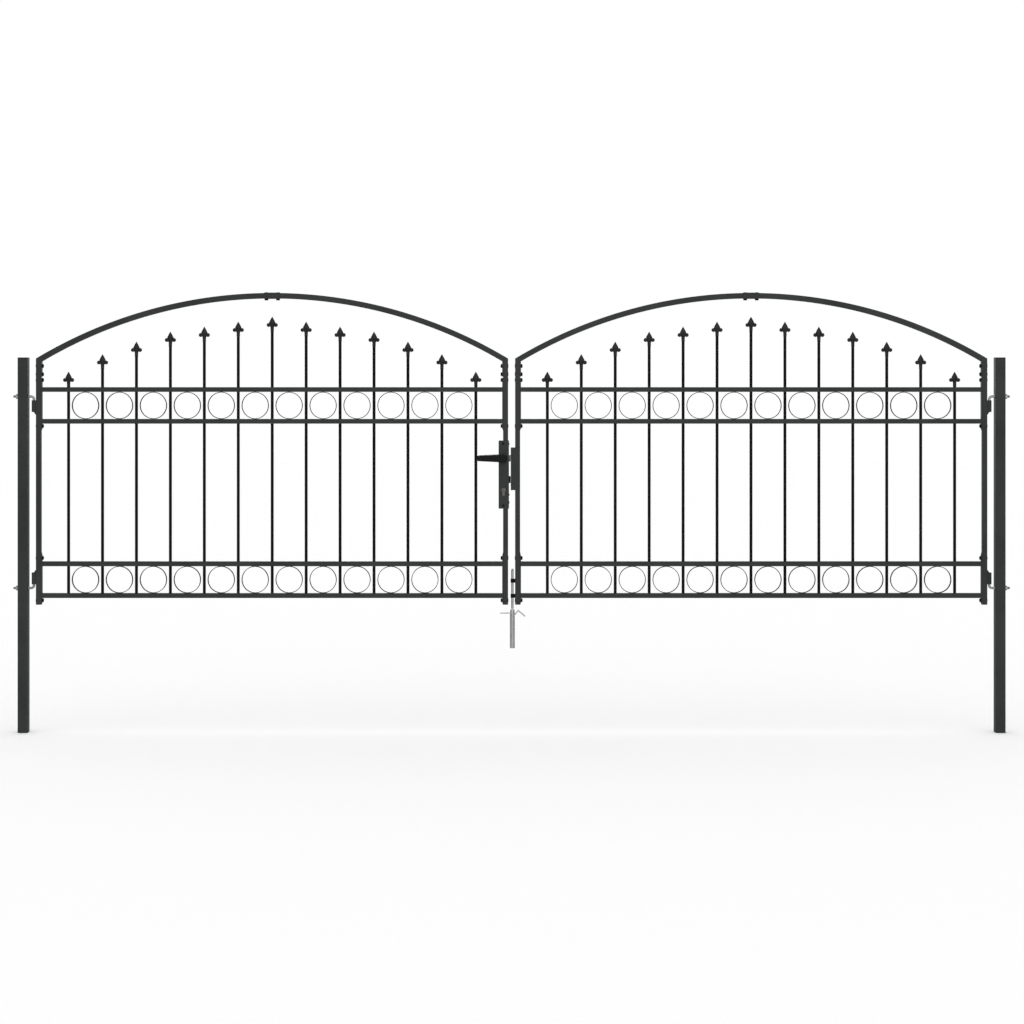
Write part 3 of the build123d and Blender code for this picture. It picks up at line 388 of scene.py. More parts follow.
def washer(centre, way, outer, inner, thick, sides=32):
    """A flat ring whose back lies on a point."""
    piece = rod(centre, Vector(centre) + way * thick, outer, sides)
    pick_faces(piece, lambda c, n: abs(n.dot(way)) > FACING)
    bpy.ops.mesh.inset(thickness=outer - inner, use_individual=True)
    bpy.ops.mesh.bridge_edge_loops()
    leave()
    return piece


def again(piece):
    """A copy with its own mesh."""
    copy = piece.copy()
    copy.data = piece.data.copy()
    bpy.context.collection.objects.link(copy)
    return copy


def joined(pieces):
    take(*pieces)
    if len(pieces) > 1:
        bpy.ops.object.join()
    bpy.ops.object.transform_apply(location=True, rotation=True, scale=True)
    return bpy.context.object


def repeated(piece, places):
    """One mesh of copies of a piece, each at a place and with its Z axis turned to a direction."""
    made = []
    for place, way in places:
        copy = again(piece)
        copy.rotation_mode = "QUATERNION"
        copy.rotation_quaternion = way.to_track_quat("Z", "Y")
        copy.location = place
        made.append(copy)
    bpy.data.objects.remove(piece)
    return joined(made)


def mirrored(piece, about=0.0):
    """The piece on the other side of an upright plane across X."""
    copy = again(piece)
    take(copy)
    copy.scale.x = -1
    copy.location.x = 2 * about
    bpy.ops.object.transform_apply(location=True, rotation=True, scale=True)
    tidy_normals(copy)
    return copy


def from_part(node, edge=0.0, steps=2):
    """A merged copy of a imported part, its hard edges broken."""
    rest()
    piece = bpy.data.objects.new(node + "_dressed", frame["nodes"][node].data.copy())
    bpy.context.collection.objects.link(piece)
    edit(piece)
    bpy.ops.mesh.remove_doubles(threshold=2 * MERGE)
    bpy.ops.mesh.dissolve_limited(angle_limit=math.radians(0.5))
    leave()
    if edge:
        bevel = piece.modifiers.new("broken_edge", "BEVEL")
        bevel.width = edge
        bevel.segments = steps
        bevel.limit_method = "ANGLE"
        bevel.angle_limit = math.radians(50)
        bpy.ops.object.modifier_apply(modifier=bevel.name)
    return piece


def dress(piece, name, body, node, finish, angle=35):
    """Names a finished piece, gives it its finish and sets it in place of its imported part."""
    take(piece)
    bpy.ops.object.transform_apply(location=True, rotation=True, scale=True)
    bpy.ops.object.shade_smooth_by_angle(angle=math.radians(angle))
    bpy.ops.object.modifier_add(type="WEIGHTED_NORMAL")
    piece.modifiers[-1].keep_sharp = True
    bpy.ops.object.modifier_apply(modifier=piece.modifiers[-1].name)
    piece.name = name
    piece.data.name = name
    piece.data.materials.clear()
    piece.data.materials.append(finish)
    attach(piece, body)
    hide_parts(node)
    return piece


def dress_parts(*parts):
    """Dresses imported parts, each given by node, body, finish and width of its broken edges."""
    for name, body, finish, edge in parts:
        dress(from_part(name, edge), name + "_dressed", body, name, finish, angle=30)


def both_leaves(piece, name, finish, angle=35):
    """Dresses a right-leaf piece and its mirror image on the left leaf."""
    other = mirrored(piece)
    dress(piece, f"right_{name}_dressed", "right_leaf", f"right_{name}", finish, angle)
    dress(other, f"left_{name}_dressed", "left_leaf", f"left_{name}", finish, angle)


# finishes


def shader_node(tree, kind, place, **values):
    """A shader node with its sockets or settings given by name."""
    made = tree.nodes.new(kind)
    made.location = place
    for key, value in values.items():
        if key in made.inputs:
            made.inputs[key].default_value = value
        else:
            setattr(made, key.lower(), value)
    return made


def new_finish(name):
    finish = bpy.data.materials.get(name)
    if finish:
        return finish, None, None
    finish = bpy.data.materials.new(name)
    finish.use_nodes = True
    tree = finish.node_tree
    return finish, tree, tree.nodes["Principled BSDF"]


def shade(colour, factor):
    return tuple(min(1.0, c * factor) for c in colour) + (1.0,)


def noise(tree, place, source, scale, detail, rough):
    """A noise pattern read at the given coordinates."""
    made = shader_node(
        tree, "ShaderNodeTexNoise", place, Scale=scale, Detail=detail, Roughness=rough
    )
    tree.links.new(source, made.inputs["Vector"])
    return made.outputs["Fac"]


def tone_ramp(tree, place, dark, light, source):
    """Colours between two ends, each a position and a colour, that follow a pattern."""
    ramp = shader_node(tree, "ShaderNodeValToRGB", place)
    for element, (position, colour) in zip(ramp.color_ramp.elements, (dark, light)):
        element.position = position
        element.color = colour
    tree.links.new(source, ramp.inputs["Fac"])
    return ramp.outputs["Color"]


def patchy_gloss(tree, shader, place, source, low, high):
    """Roughness that follows a pattern."""
    spread = shader_node(tree, "ShaderNodeMapRange", place)
    spread.inputs["To Min"].default_value = low
    spread.inputs["To Max"].default_value = high
    tree.links.new(source, spread.inputs["Value"])
    tree.links.new(spread.outputs["Result"], shader.inputs["Roughness"])


def relief(tree, shader, place, source, strength, distance):
    """Fine bumps that follow a pattern."""
    bump = shader_node(tree, "ShaderNodeBump", place, Strength=strength, Distance=distance)
    tree.links.new(source, bump.inputs["Height"])
    tree.links.new(bump.outputs["Normal"], shader.inputs["Normal"])


def coat(name, colour, rough, grain, specular):
    """Powder coat: cloudy colour, fine flecks and orange peel."""
    finish, tree, shader = new_finish(name)
    if tree is None:
        return finish
    colour = tuple(colour)
    spot = shader_node(tree, "ShaderNodeTexCoord", (-1200, 0)).outputs["Object"]
    cloud = noise(tree, (-1000, 300), spot, scale=5.0, detail=4.0, rough=0.6)
    speck = noise(tree, (-1000, 60), spot, scale=700.0, detail=2.0, rough=0.5)
    peel = noise(tree, (-1000, -220), spot, scale=grain, detail=3.0, rough=0.55)
    dark, light = (0.3, shade(colour, 0.82)), (0.7, shade(colour, 1.22))
    tones = tone_ramp(tree, (-780, 300), dark, light, cloud)
    dark, light = (0.42, (0.86, 0.86, 0.86, 1)), (0.72, (1.3, 1.3, 1.32, 1))
    flecks = tone_ramp(tree, (-780, 60), dark, light, speck)
    flecked = shader_node(tree, "ShaderNodeMixRGB", (-500, 220), blend_type="MULTIPLY", Fac=1.0)
    tree.links.new(tones, flecked.inputs["Color1"])
    tree.links.new(flecks, flecked.inputs["Color2"])
    tree.links.new(flecked.outputs["Color"], shader.inputs["Base Color"])
    patchy_gloss(tree, shader, (-500, -60), cloud, low=rough - 0.08, high=rough + 0.08)
    relief(tree, shader, (-280, -240), peel, strength=0.22, distance=0.3 * MM)
    shader.inputs["Specular IOR Level"].default_value = specular
    return finish


def plate_metal(name, colour, rough, stretch, spangled):
    """Plated steel: spangle, drawn lines and patchy gloss."""
    finish, tree, shader = new_finish(name)
    if tree is None:
        return finish
    colour = tuple(colour)
    spot = shader_node(tree, "ShaderNodeTexCoord", (-1200, 0)).outputs["Object"]
    drawn = shader_node(tree, "ShaderNodeMapping", (-1000, -220), Scale=stretch)
    tree.links.new(spot, drawn.inputs["Vector"])
    along_draw = drawn.outputs["Vector"]
    lines = noise(tree, (-800, -220), along_draw, scale=900.0, detail=3.0, rough=0.6)
    patch = noise(tree, (-800, 40), spot, scale=45.0, detail=4.0, rough=0.65)
    spangle = shader_node(tree, "ShaderNodeTexVoronoi", (-800, 300), Scale=160.0)
    tree.links.new(spot, spangle.inputs["Vector"])
    blend = shader_node(tree, "ShaderNodeMixRGB", (-560, 200), Fac=1.0 - spangled)
    tree.links.new(spangle.outputs["Color"], blend.inputs["Color1"])
    tree.links.new(patch, blend.inputs["Color2"])
    dark, light = (0.25, shade(colour, 0.78)), (0.75, shade(colour, 1.18))
    tones = tone_ramp(tree, (-360, 200), dark, light, blend.outputs["Color"])
    tree.links.new(tones, shader.inputs["Base Color"])
    patchy_gloss(tree, shader, (-360, -40), patch, low=rough - 0.1, high=rough + 0.12)
    relief(tree, shader, (-200, -240), lines, strength=0.15, distance=0.2 * MM)
    shader.inputs["Metallic"].default_value = 0.85
    return finish


def frame_coat():
    return coat(
        "anthracite_powder_coat", colours().frame_coat, rough=0.55, grain=1300.0, specular=0.05
    )


def bar_coat():
    return coat(
        "satin_black_coat", colours().bar_coat, rough=0.50, grain=1600.0, specular=0.015
    )


# black coat lightened for the spear heads, a painted highlight, with a glossier top for the lamps'
# real highlight
def head_coat_painted_highlight():
    return coat(
        "cast_black_coat_painted_highlight", colours().head_coat_painted_highlight, rough=0.40, grain=1600.0, specular=0.06
    )


def lever_coat():
    return coat(
        "lever_black_coat", colours().lever_coat, rough=0.36, grain=1600.0, specular=0.03
    )


def zinc():
    return plate_metal(
        "bright_zinc", colours().zinc, rough=0.5, stretch=(1, 1, 0.12), spangled=0.4
    )


def nickel():
    return plate_metal(
        "satin_nickel", colours().nickel, rough=0.34, stretch=(1, 0.12, 1), spangled=0.0
    )


def cap_plastic():
    return coat(
        "black_cap_plastic", colours().cap, rough=0.62, grain=2400.0, specular=0.04
    )


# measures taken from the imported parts


def leaf_measures():
    """Faces, corner and mitre of the right leaf, and its arch's centre and radii."""
    hinge_low, hinge_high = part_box("right_hinge_stile")
    meet_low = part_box("right_meeting_stile")[0]
    arch_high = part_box("right_arch_hinge_half")[1]
    stile = hinge_high.x - hinge_low.x
    half = (hinge_high.x - meet_low.x) / 2
    rise = arch_high.z - hinge_high.z
    outer = (half**2 + rise**2) / (2 * rise)
    inner = outer - ARCH_DEPTH
    mid = (hinge_high.x + meet_low.x) / 2
    centre = Vector((mid, 0, arch_high.z - outer))
    corner = Vector((hinge_high.x, 0, hinge_high.z))
    inset = Vector((hinge_high.x - stile, 0, 0))
    inset.z = centre.z + math.sqrt(inner**2 - (half - stile) ** 2)
    return {
        "out": hinge_high.x,
        "in": meet_low.x,
        "mid": mid,
        "half": half,
        "stile": stile,
        "foot": hinge_low.z,
        "outer": outer,
        "inner": inner,
        "centre": centre,
        "corner": corner,
        "mitre": Vector((inset.z - corner.z, 0, corner.x - inset.x)),
    }


def joint_place(name):
    for joint in frame["joints"]:
        if joint["name"] == name:
            return Vector(joint["pos_m"])
    raise RuntimeError(f"no joint is named {name}")


def bar_places():
    """X and tip height of each bar of the right leaf."""
    low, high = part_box("right_bars")
    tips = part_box("right_spear_heads")[1].z
    middle = len(TIP_DROPS) - 1
    first = low.x + sizes().bar_diameter / 2
    pitch = (high.x - low.x - sizes().bar_diameter) / (2 * middle)
    return [
        (first + n * pitch, tips - TIP_DROPS[abs(n - middle)] * MM) for n in range(2 * middle + 1)
    ]


def stile_bolt_heights():
    """Two bolts below the corner of a stile, and one beside each rail."""
    corner = leaf_measures()["corner"].z
    heights = [corner - drop * MM for drop in CORNER_BOLT_DROPS]
    for rail, step in RAIL_BOLT_STEPS.items():
        low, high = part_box(f"right_{rail}_rail")
        heights.append((low.z + high.z) / 2 + step * MM)
    return heights


# pieces


class GATE_OT_posts(bpy.types.Operator):
    """Square posts with rounded edges, open feet and push-in caps"""

    bl_idname = "gate.posts"
    bl_label = "Posts and caps"

    bore_seen = 60 * MM
    cap_edge = 1.4 * MM

    def execute(self, context):
        low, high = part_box("right_post")
        post = block(low, high)
        round_edges(post, along(Z), sizes().post_corner, steps=5)
        hollow(post, -Z, sizes().post_wall, self.bore_seen)
        other = mirrored(post)
        dress(post, "right_post_dressed", "posts", "right_post", frame_coat())
        dress(other, "left_post_dressed", "posts", "left_post", frame_coat())
        cap_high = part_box("post_caps")[1]
        cap = block((low.x, low.y, high.z), (high.x, high.y, cap_high.z))
        round_edges(cap, along(Z), sizes().post_corner, steps=5)
        round_edges(cap, topmost(cap_high.z), self.cap_edge, steps=3)
        caps = joined([cap, mirrored(cap)])
        dress(caps, "post_caps_dressed", "posts", "post_caps", cap_plastic())
        return {"FINISHED"}


class GATE_OT_hooks(bpy.types.Operator):
    """Threaded hinge hooks with their collars, washers and nuts"""

    bl_idname = "gate.hooks"
    bl_label = "Hinge hooks"

    # from the end of an eye to the rod's middle, and from there on into the eye
    standoff = 15 * MM
    pin_in_eye = 44 * MM
    # radii as shares of the rod's
    thread_tip = 0.8
    thread_root = 0.86
    collar_radius = 7.5 * MM
    collar_width = 3 * MM
    collar_edge = 0.5 * MM
    washer_radius = 10 * MM
    washer_hole_play = 0.1 * MM
    washer_thick = 2 * MM
    nut_flats = 17 * MM
    nut_edge = 0.9 * MM
    nut_reach = 10 * MM

    def hook(self, end_x, nut_face, pin_x, height, way):
        """A rod threaded from its end to the nut, and bent to a pin that points up or down."""
        bend = sizes().hook_bend
        rest()
        bpy.ops.mesh.primitive_circle_add(
            vertices=24,
            radius=sizes().hook_rod / 2 * self.thread_tip,
            fill_type="NGON",
            location=(end_x, 0, height),
            rotation=(0, math.pi / 2, 0),
        )
        piece = bpy.context.object
        bpy.ops.object.transform_apply(location=True, rotation=True, scale=True)
        edit(piece)
        at = end_x
        scale = 1 / self.thread_tip
        while at > nut_face:
            step = min(sizes().thread_pitch / 2, at - nut_face + 1e-5)
            at -= step
            bpy.ops.mesh.extrude_region_move(TRANSFORM_OT_translate={"value": (-step, 0, 0)})
            bpy.ops.transform.resize(value=(1, scale, scale), center_override=(at, 0, height))
            scale = self.thread_root if scale > 1 else 1 / self.thread_root
        if scale > 1:
            bpy.ops.transform.resize(value=(1, scale, scale), center_override=(at, 0, height))
        plain = pin_x + bend - at
        bpy.ops.mesh.extrude_region_move(TRANSFORM_OT_translate={"value": (plain, 0, 0)})
        bpy.ops.mesh.spin(
            steps=10,
            angle=math.pi / 2 * -way,
            center=(pin_x + bend, 0, height + way * bend),
            axis=(0, 1, 0),
        )
        pin = way * (self.standoff + self.pin_in_eye - bend)
        bpy.ops.mesh.extrude_region_move(TRANSFORM_OT_translate={"value": (0, 0, pin)})
        leave()
        tidy_normals(piece)
        return piece

    def execute(self, context):
        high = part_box("right_hinge_hooks")[1]
        post_low, post_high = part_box("right_post")
        eye_low, eye_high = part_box("right_hinge_eyes")
        pin_x = joint_place("right_leaf_swing").x
        hole = sizes().hook_rod / 2 + self.washer_hole_play
        washer_face = post_high.x + self.washer_thick
        nut_face = post_high.x + self.nut_reach
        hooks, washers, nuts = [], [], []
        for height, way in ((eye_high.z + self.standoff, -1), (eye_low.z - self.standoff, 1)):
            hooks.append(self.hook(high.x, nut_face, pin_x, height, way))
            hooks.append(
                rod(
                    (post_low.x - self.collar_width, 0, height),
                    (post_low.x, 0, height),
                    self.collar_radius,
                    sides=28,
                    chamfer=self.collar_edge,
                )
            )
            washers.append(
                washer((post_high.x, 0, height), X, self.washer_radius, hole, self.washer_thick)
            )
            nut = hexagon((washer_face, 0, height), (nut_face, 0, height), self.nut_flats)
            round_edges(nut, across(X), self.nut_edge, steps=2)
            nuts.append(nut)
        hooks = joined(hooks)
        other = mirrored(hooks)
        dress(hooks, "right_hinge_hooks_dressed", "posts", "right_hinge_hooks", zinc())
        dress(other, "left_hinge_hooks_dressed", "posts", "left_hinge_hooks", zinc())
        for name, pieces in (("hook_washers", washers), ("hook_nuts", nuts)):
            piece = joined(pieces)
            dress(joined([piece, mirrored(piece)]), name + "_dressed", "posts", name, zinc())
        return {"FINISHED"}


class GATE_OT_eyes(bpy.types.Operator):
    """Hinge eyes welded to the hinge stiles"""

    bl_idname = "gate.eyes"
    bl_label = "Hinge eyes"

    edge = 0.6 * MM

    def execute(self, context):
        eyes = from_part("right_hinge_eyes", self.edge, steps=3)
        both_leaves(eyes, "hinge_eyes", frame_coat(), angle=30)
        return {"FINISHED"}


class GATE_OT_stiles(bpy.types.Operator):
    """Stiles of square tube, mitred to the arch at the top"""

    bl_idname = "gate.stiles"
    bl_label = "Stiles"

    wall = 1.5 * MM
    bore_seen = 40 * MM

    def execute(self, context):
        leaf = leaf_measures()
        half = leaf["stile"] / 2
        stile = block(
            (leaf["out"] - leaf["stile"], -half, leaf["foot"]),
            (leaf["out"], half, leaf["corner"].z + leaf["stile"]),
        )
        round_edges(stile, along(Z), sizes().stile_corner, steps=4)
        cut(stile, leaf["corner"], leaf["mitre"])
        hollow(stile, -Z, self.wall, self.bore_seen)
        meeting = mirrored(stile, leaf["mid"])
        lower = mirrored(meeting)
        lock_low, lock_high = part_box("lock_housing")
        upper = again(lower)
        cut(upper, (0, 0, lock_high.z), -Z)
        cut(lower, (0, 0, lock_low.z), Z)
        both_leaves(stile, "hinge_stile", frame_coat())
        for piece, body, name in (
            (meeting, "right_leaf", "right_meeting_stile"),
            (upper, "left_leaf", "left_meeting_stile_upper"),
            (lower, "left_leaf", "left_meeting_stile_lower"),
        ):
            dress(piece, name + "_dressed", body, name, frame_coat())
        return {"FINISHED"}


class GATE_OT_arches(bpy.types.Operator):
    """Bent arch halves with the sleeve over their joint"""

    bl_idname = "gate.arches"
    bl_label = "Arches"

    facet = math.radians(0.6)

    def bent(self, leaf, angle):
        """A rounded square section spun about the arch's centre."""
        rest()
        low, high = leaf["inner"], leaf["outer"]
        middle = leaf["centre"] + Z * ((low + high) / 2)
        bpy.ops.mesh.primitive_plane_add(size=1, location=middle, rotation=(0, math.pi / 2, 0))
        piece = bpy.context.object
        piece.scale = (high - low, leaf["stile"], 1)
        bpy.ops.object.transform_apply(location=True, rotation=True, scale=True)
        edit(piece, "VERT")
        bpy.ops.mesh.bevel(offset=sizes().stile_corner, segments=4, affect="VERTICES")
        bpy.ops.mesh.spin(
            steps=int(abs(angle) / self.facet), angle=angle, center=leaf["centre"], axis=(0, 1, 0)
        )
        bpy.ops.mesh.select_all(action="SELECT")
        bpy.ops.mesh.remove_doubles(threshold=MERGE)
        bpy.ops.mesh.fill_holes(sides=0)
        bpy.ops.mesh.normals_make_consistent(inside=False)
        leave()
        return piece

    def execute(self, context):
        leaf = leaf_measures()
        arch = self.bent(leaf, -math.asin((leaf["half"] + leaf["stile"]) / leaf["outer"]))
        cut(arch, leaf["corner"], -leaf["mitre"])
        both_leaves(mirrored(arch, leaf["mid"]), "arch_meeting_half", frame_coat())
        both_leaves(arch, "arch_hinge_half", frame_coat())
        sleeve = from_part("right_arch_sleeve", sizes().broken_edge)
        both_leaves(sleeve, "arch_sleeve", frame_coat())
        return {"FINISHED"}


class GATE_OT_rails(bpy.types.Operator):
    """Rails of square tube between the end plates"""

    bl_idname = "gate.rails"
    bl_label = "Rails"

    def execute(self, context):
        for name in ("top_rail", "upper_rail", "lower_rail", "bottom_rail"):
            rail = block(*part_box(f"right_{name}"))
            round_edges(rail, along(X), sizes().rail_corner, steps=4)
            both_leaves(rail, name, frame_coat())
        return {"FINISHED"}


class GATE_OT_bars(bpy.types.Operator):
    """Upright bars"""

    bl_idname = "gate.bars"
    bl_label = "Bars"

    end_edge = 0.5 * MM

    def execute(self, context):
        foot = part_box("right_bars")[0].z
        radius = sizes().bar_diameter / 2
        bars = [
            rod((x, 0, foot), (x, 0, tip - SPEAR_SEAT), radius, sizes().bar_sides, self.end_edge)
            for x, tip in bar_places()
        ]
        both_leaves(joined(bars), "bars", bar_coat())
        return {"FINISHED"}


class GATE_OT_spears(bpy.types.Operator):
    """Cast spear heads: ferrule, boss, side lobes and a flattened point"""

    bl_idname = "gate.spears"
    bl_label = "Spear heads"

    # height from the tip, half width and half thickness, in millimetres
    sections = (
        (-60, 6.4, 6.4), (-59.3, 7.0, 7.0), (-54.6, 7.0, 7.0), (-53.9, 6.5, 6.5),
        (-52.7, 6.5, 6.5), (-52.0, 7.0, 7.0), (-46.0, 7.0, 7.0), (-44.5, 7.1, 7.0),
        (-42.5, 7.8, 7.3), (-40.0, 8.9, 8.2), (-37.0, 9.7, 9.2), (-34.0, 10.0, 9.6),
        (-31.0, 9.7, 8.6), (-28.5, 9.7, 6.6), (-26.6, 11.2, 5.3), (-25.0, 13.0, 5.0),
        (-23.7, 12.8, 5.0), (-20.0, 11.0, 4.7), (-16.0, 9.0, 4.2), (-12.0, 6.9, 3.5),
        (-8.0, 4.7, 2.6), (-4.5, 2.6, 1.7), (-2.0, 1.2, 1.0), (-0.6, 0.5, 0.5), (0, 0.15, 0.15),
    )
    lobe_drop = 34 * MM
    lobe_radius = 8 * MM
    lobe_spread = 14.5 * MM
    lobe_flatness = 0.86
    dish_edge = 5.6 * MM
    dish_rim = 0.6 * MM
    dish_floor = 5.9 * MM
    dish_depth = 1.2 * MM
    stud_radius = 3 * MM
    stud_spread = 8.6 * MM
    stud_flatness = 0.5

    def point(self):
        """The middle of the head, drawn up section by section."""
        rest()
        bottom = self.sections[0]
        bpy.ops.mesh.primitive_circle_add(
            vertices=16, radius=bottom[1] * MM, fill_type="NGON", location=(0, 0, bottom[0] * MM)
        )
        piece = bpy.context.object
        bpy.ops.object.transform_apply(location=True, rotation=True, scale=True)
        edit(piece)
        for below, above in zip(self.sections, self.sections[1:]):
            bpy.ops.mesh.extrude_region_move(
                TRANSFORM_OT_translate={"value": (0, 0, (above[0] - below[0]) * MM)}
            )
            bpy.ops.transform.resize(
                value=(above[1] / below[1], above[2] / below[2], 1),
                center_override=(0, 0, above[0] * MM),
            )
        leave()
        tidy_normals(piece)
        return piece

    def ball(self, place, radius, flatness, segments, rings):
        rest()
        bpy.ops.mesh.primitive_uv_sphere_add(
            segments=segments, ring_count=rings, radius=radius, location=place
        )
        piece = bpy.context.object
        piece.scale.y = flatness
        bpy.ops.object.transform_apply(location=True, rotation=True, scale=True)
        return piece

    def lobe(self, side):
        """A flattened ball with a shallow dish in its front and back."""
        place = (self.lobe_spread * side, 0, -self.lobe_drop)
        piece = self.ball(place, self.lobe_radius, self.lobe_flatness, segments=16, rings=10)
        pick_faces(piece, lambda c, n: abs(c.y) > self.dish_edge)
        bpy.ops.mesh.inset(thickness=self.dish_rim)
        for way in (-1, 1):
            pick_faces(piece, lambda c, n, way=way: c.y * way > self.dish_floor)
            bpy.ops.transform.translate(value=(0, -self.dish_depth * way, 0))
            leave()
        return piece

    def stud(self, side):
        place = (0, self.stud_spread * side, -self.lobe_drop)
        return self.ball(place, self.stud_radius, self.stud_flatness, segments=12, rings=8)

    def execute(self, context):
        parts = [self.point()]
        for side in (-1, 1):
            parts += [self.lobe(side), self.stud(side)]
        places = [(Vector((x, 0, tip)), Z) for x, tip in bar_places()]
        # the heads take the lightened black coat, which is a painted highlight
        both_leaves(repeated(joined(parts), places), "spear_heads", head_coat_painted_highlight(), angle=40)
        return {"FINISHED"}


class GATE_OT_rings(bpy.types.Operator):
    """Rings of flat strip between the rails"""

    bl_idname = "gate.rings"
    bl_label = "Rings"

    strip_edge = 0.35 * MM

    def execute(self, context):
        low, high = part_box("right_rings")
        bars = bar_places()
        pitch = bars[1][0] - bars[0][0]
        radius = (high.x - low.x - (len(bars) - 2) * pitch) / 2
        rest()
        bpy.ops.mesh.primitive_cylinder_add(
            vertices=sizes().ring_sides,
            radius=radius,
            depth=high.y - low.y,
            end_fill_type="NOTHING",
        )
        ring = bpy.context.object
        wall = ring.modifiers.new("strip", "SOLIDIFY")
        wall.thickness = sizes().ring_strip
        wall.offset = -1
        bpy.ops.object.modifier_apply(modifier=wall.name)
        round_edges(ring, round_the_rim, self.strip_edge, steps=1)
        tidy_normals(ring)
        places = [
            (Vector((x + pitch / 2, 0, height)), Y)
            for height in (high.z - radius, low.z + radius)
            for x, tip in bars[:-1]
        ]
        both_leaves(repeated(ring, places), "rings", bar_coat(), angle=30)
        return {"FINISHED"}


class GATE_OT_plates(bpy.types.Operator):
    """Corner tabs and end plates on the stiles"""

    bl_idname = "gate.plates"
    bl_label = "Stile plates"

    def execute(self, context):
        plates = from_part("right_stile_plates", sizes().broken_edge)
        both_leaves(plates, "stile_plates", frame_coat())
        return {"FINISHED"}


class GATE_OT_fasteners(bpy.types.Operator):
    """Mushroom-head bolts and flanged nuts of the frame"""

    bl_idname = "gate.fasteners"
    bl_label = "Frame bolts and nuts"

    plate = 3.5 * MM
    sleeve_bolt_spread = 23.5 * MM
    sleeve_head_seat = 1.26 * MM
    sleeve_nut_seat = 1.35 * MM
    head_radius = 7.5 * MM
    head_height = 1.4 * MM
    head_round = 0.9 * MM
    shank_radius = 4 * MM
    shank_length = 30 * MM
    shank_edge = 0.5 * MM
    flange_radius = 8 * MM
    flange_height = 1.4 * MM
    flange_edge = 0.35 * MM
    nut_flats = 13 * MM
    nut_height = 6 * MM
    nut_edge = 0.9 * MM
    overlap = 0.2 * MM

    def places(self):
        """Where the bolts and nuts sit, and which way they point."""
        leaf = leaf_measures()
        bolts, nuts = [], []
        for height in stile_bolt_heights():
            for face, way in ((leaf["out"], X), (leaf["in"], -X)):
                bolts.append((Vector((face, 0, height)), way))
                inner = face - way.x * (leaf["stile"] + self.plate)
                nuts.append((Vector((inner, 0, height)), -way))
        for side in (-1, 1):
            lean = math.asin(side * self.sleeve_bolt_spread / leaf["outer"])
            way = Vector((math.sin(lean), 0, math.cos(lean)))
            bolts.append((leaf["centre"] + way * (leaf["outer"] + self.sleeve_head_seat), way))
            nuts.append((leaf["centre"] + way * (leaf["inner"] - self.sleeve_nut_seat), -way))
        return bolts, nuts

    def execute(self, context):
        bolts, nuts = self.places()
        head = rod((0, 0, 0), (0, 0, self.head_height), self.head_radius, sides=20)
        round_edges(head, topmost(self.head_height), self.head_round, steps=4)
        shank = rod(
            (0, 0, -self.shank_length),
            (0, 0, self.shank_edge),
            self.shank_radius,
            sides=14,
            chamfer=self.shank_edge,
            steps=1,
        )
        bolts = repeated(joined([head, shank]), bolts)
        both_leaves(bolts, "frame_bolts", bar_coat(), angle=40)
        flange = rod(
            (0, 0, 0),
            (0, 0, self.flange_height),
            self.flange_radius,
            sides=20,
            chamfer=self.flange_edge,
            steps=1,
        )
        foot = self.flange_height - self.overlap
        nut = hexagon((0, 0, foot), (0, 0, self.nut_height), self.nut_flats)
        round_edges(nut, topmost(self.nut_height), self.nut_edge, steps=2)
        nuts = repeated(joined([flange, nut]), nuts)
        both_leaves(nuts, "frame_nuts", bar_coat(), angle=30)
        return {"FINISHED"}


class GATE_OT_lock_case(bpy.types.Operator):
    """Lock housing, cover, forend and their screws"""

    bl_idname = "gate.lock_case"
    bl_label = "Lock case"

    screw_edge = 0.3 * MM

    def execute(self, context):
        for name in ("lock_housing", "lock_cover", "lock_forend"):
            piece = from_part(name, sizes().broken_edge)
            dress(piece, name + "_dressed", "left_leaf", name, frame_coat())
        screws = from_part("lock_screws", self.screw_edge)
        dress(screws, "lock_screws_dressed", "left_leaf", "lock_screws", bar_coat(), angle=30)
        return {"FINISHED"}


class GATE_OT_lock_works(bpy.types.Operator):
    """Levers, spindle, follower, latch, dead bolt, cylinder and key plug"""

    bl_idname = "gate.lock_works"
    bl_label = "Lock works"

    def execute(self, context):
        dress_parts(
            ("front_lever", "lever_set", lever_coat(), 0.0),
            ("back_lever", "lever_set", lever_coat(), 0.0),
            ("lock_spindle", "lever_set", zinc(), 0.3 * MM),
            ("lock_follower", "lever_set", zinc(), 0.3 * MM),
            ("latch_bolt", "latch", zinc(), 0.4 * MM),
            ("dead_bolt", "bolt", bar_coat(), 0.4 * MM),
            ("lock_cylinder", "left_leaf", nickel(), 0.3 * MM),
            ("key_plug", "key", nickel(), 0.2 * MM),
        )
        coil = from_part("latch_spring")
        dress(coil, "latch_spring_dressed", "left_leaf", "latch_spring", zinc(), angle=60)
        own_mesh(coil)
        return {"FINISHED"}


class GATE_OT_strike(bpy.types.Operator):
    """Strike box over the right meeting stile"""

    bl_idname = "gate.strike"
    bl_label = "Strike box"

    def execute(self, context):
        strike = from_part("strike_box", sizes().broken_edge)
        dress(strike, "strike_box_dressed", "right_leaf", "strike_box", frame_coat())
        return {"FINISHED"}


class GATE_OT_drop_bolt(bpy.types.Operator):
    """Drop bolt, its keepers, and the ground socket with its anchors"""

    bl_idname = "gate.drop_bolt"
    bl_label = "Drop bolt"

    def execute(self, context):
        dress_parts(
            ("drop_bolt", "drop_rod", zinc(), 0.0),
            ("drop_bolt_keepers", "right_leaf", bar_coat(), 0.5 * MM),
            ("ground_socket", "posts", zinc(), 0.0),
            ("ground_anchors", "posts", zinc(), 0.4 * MM),
        )
        return {"FINISHED"}


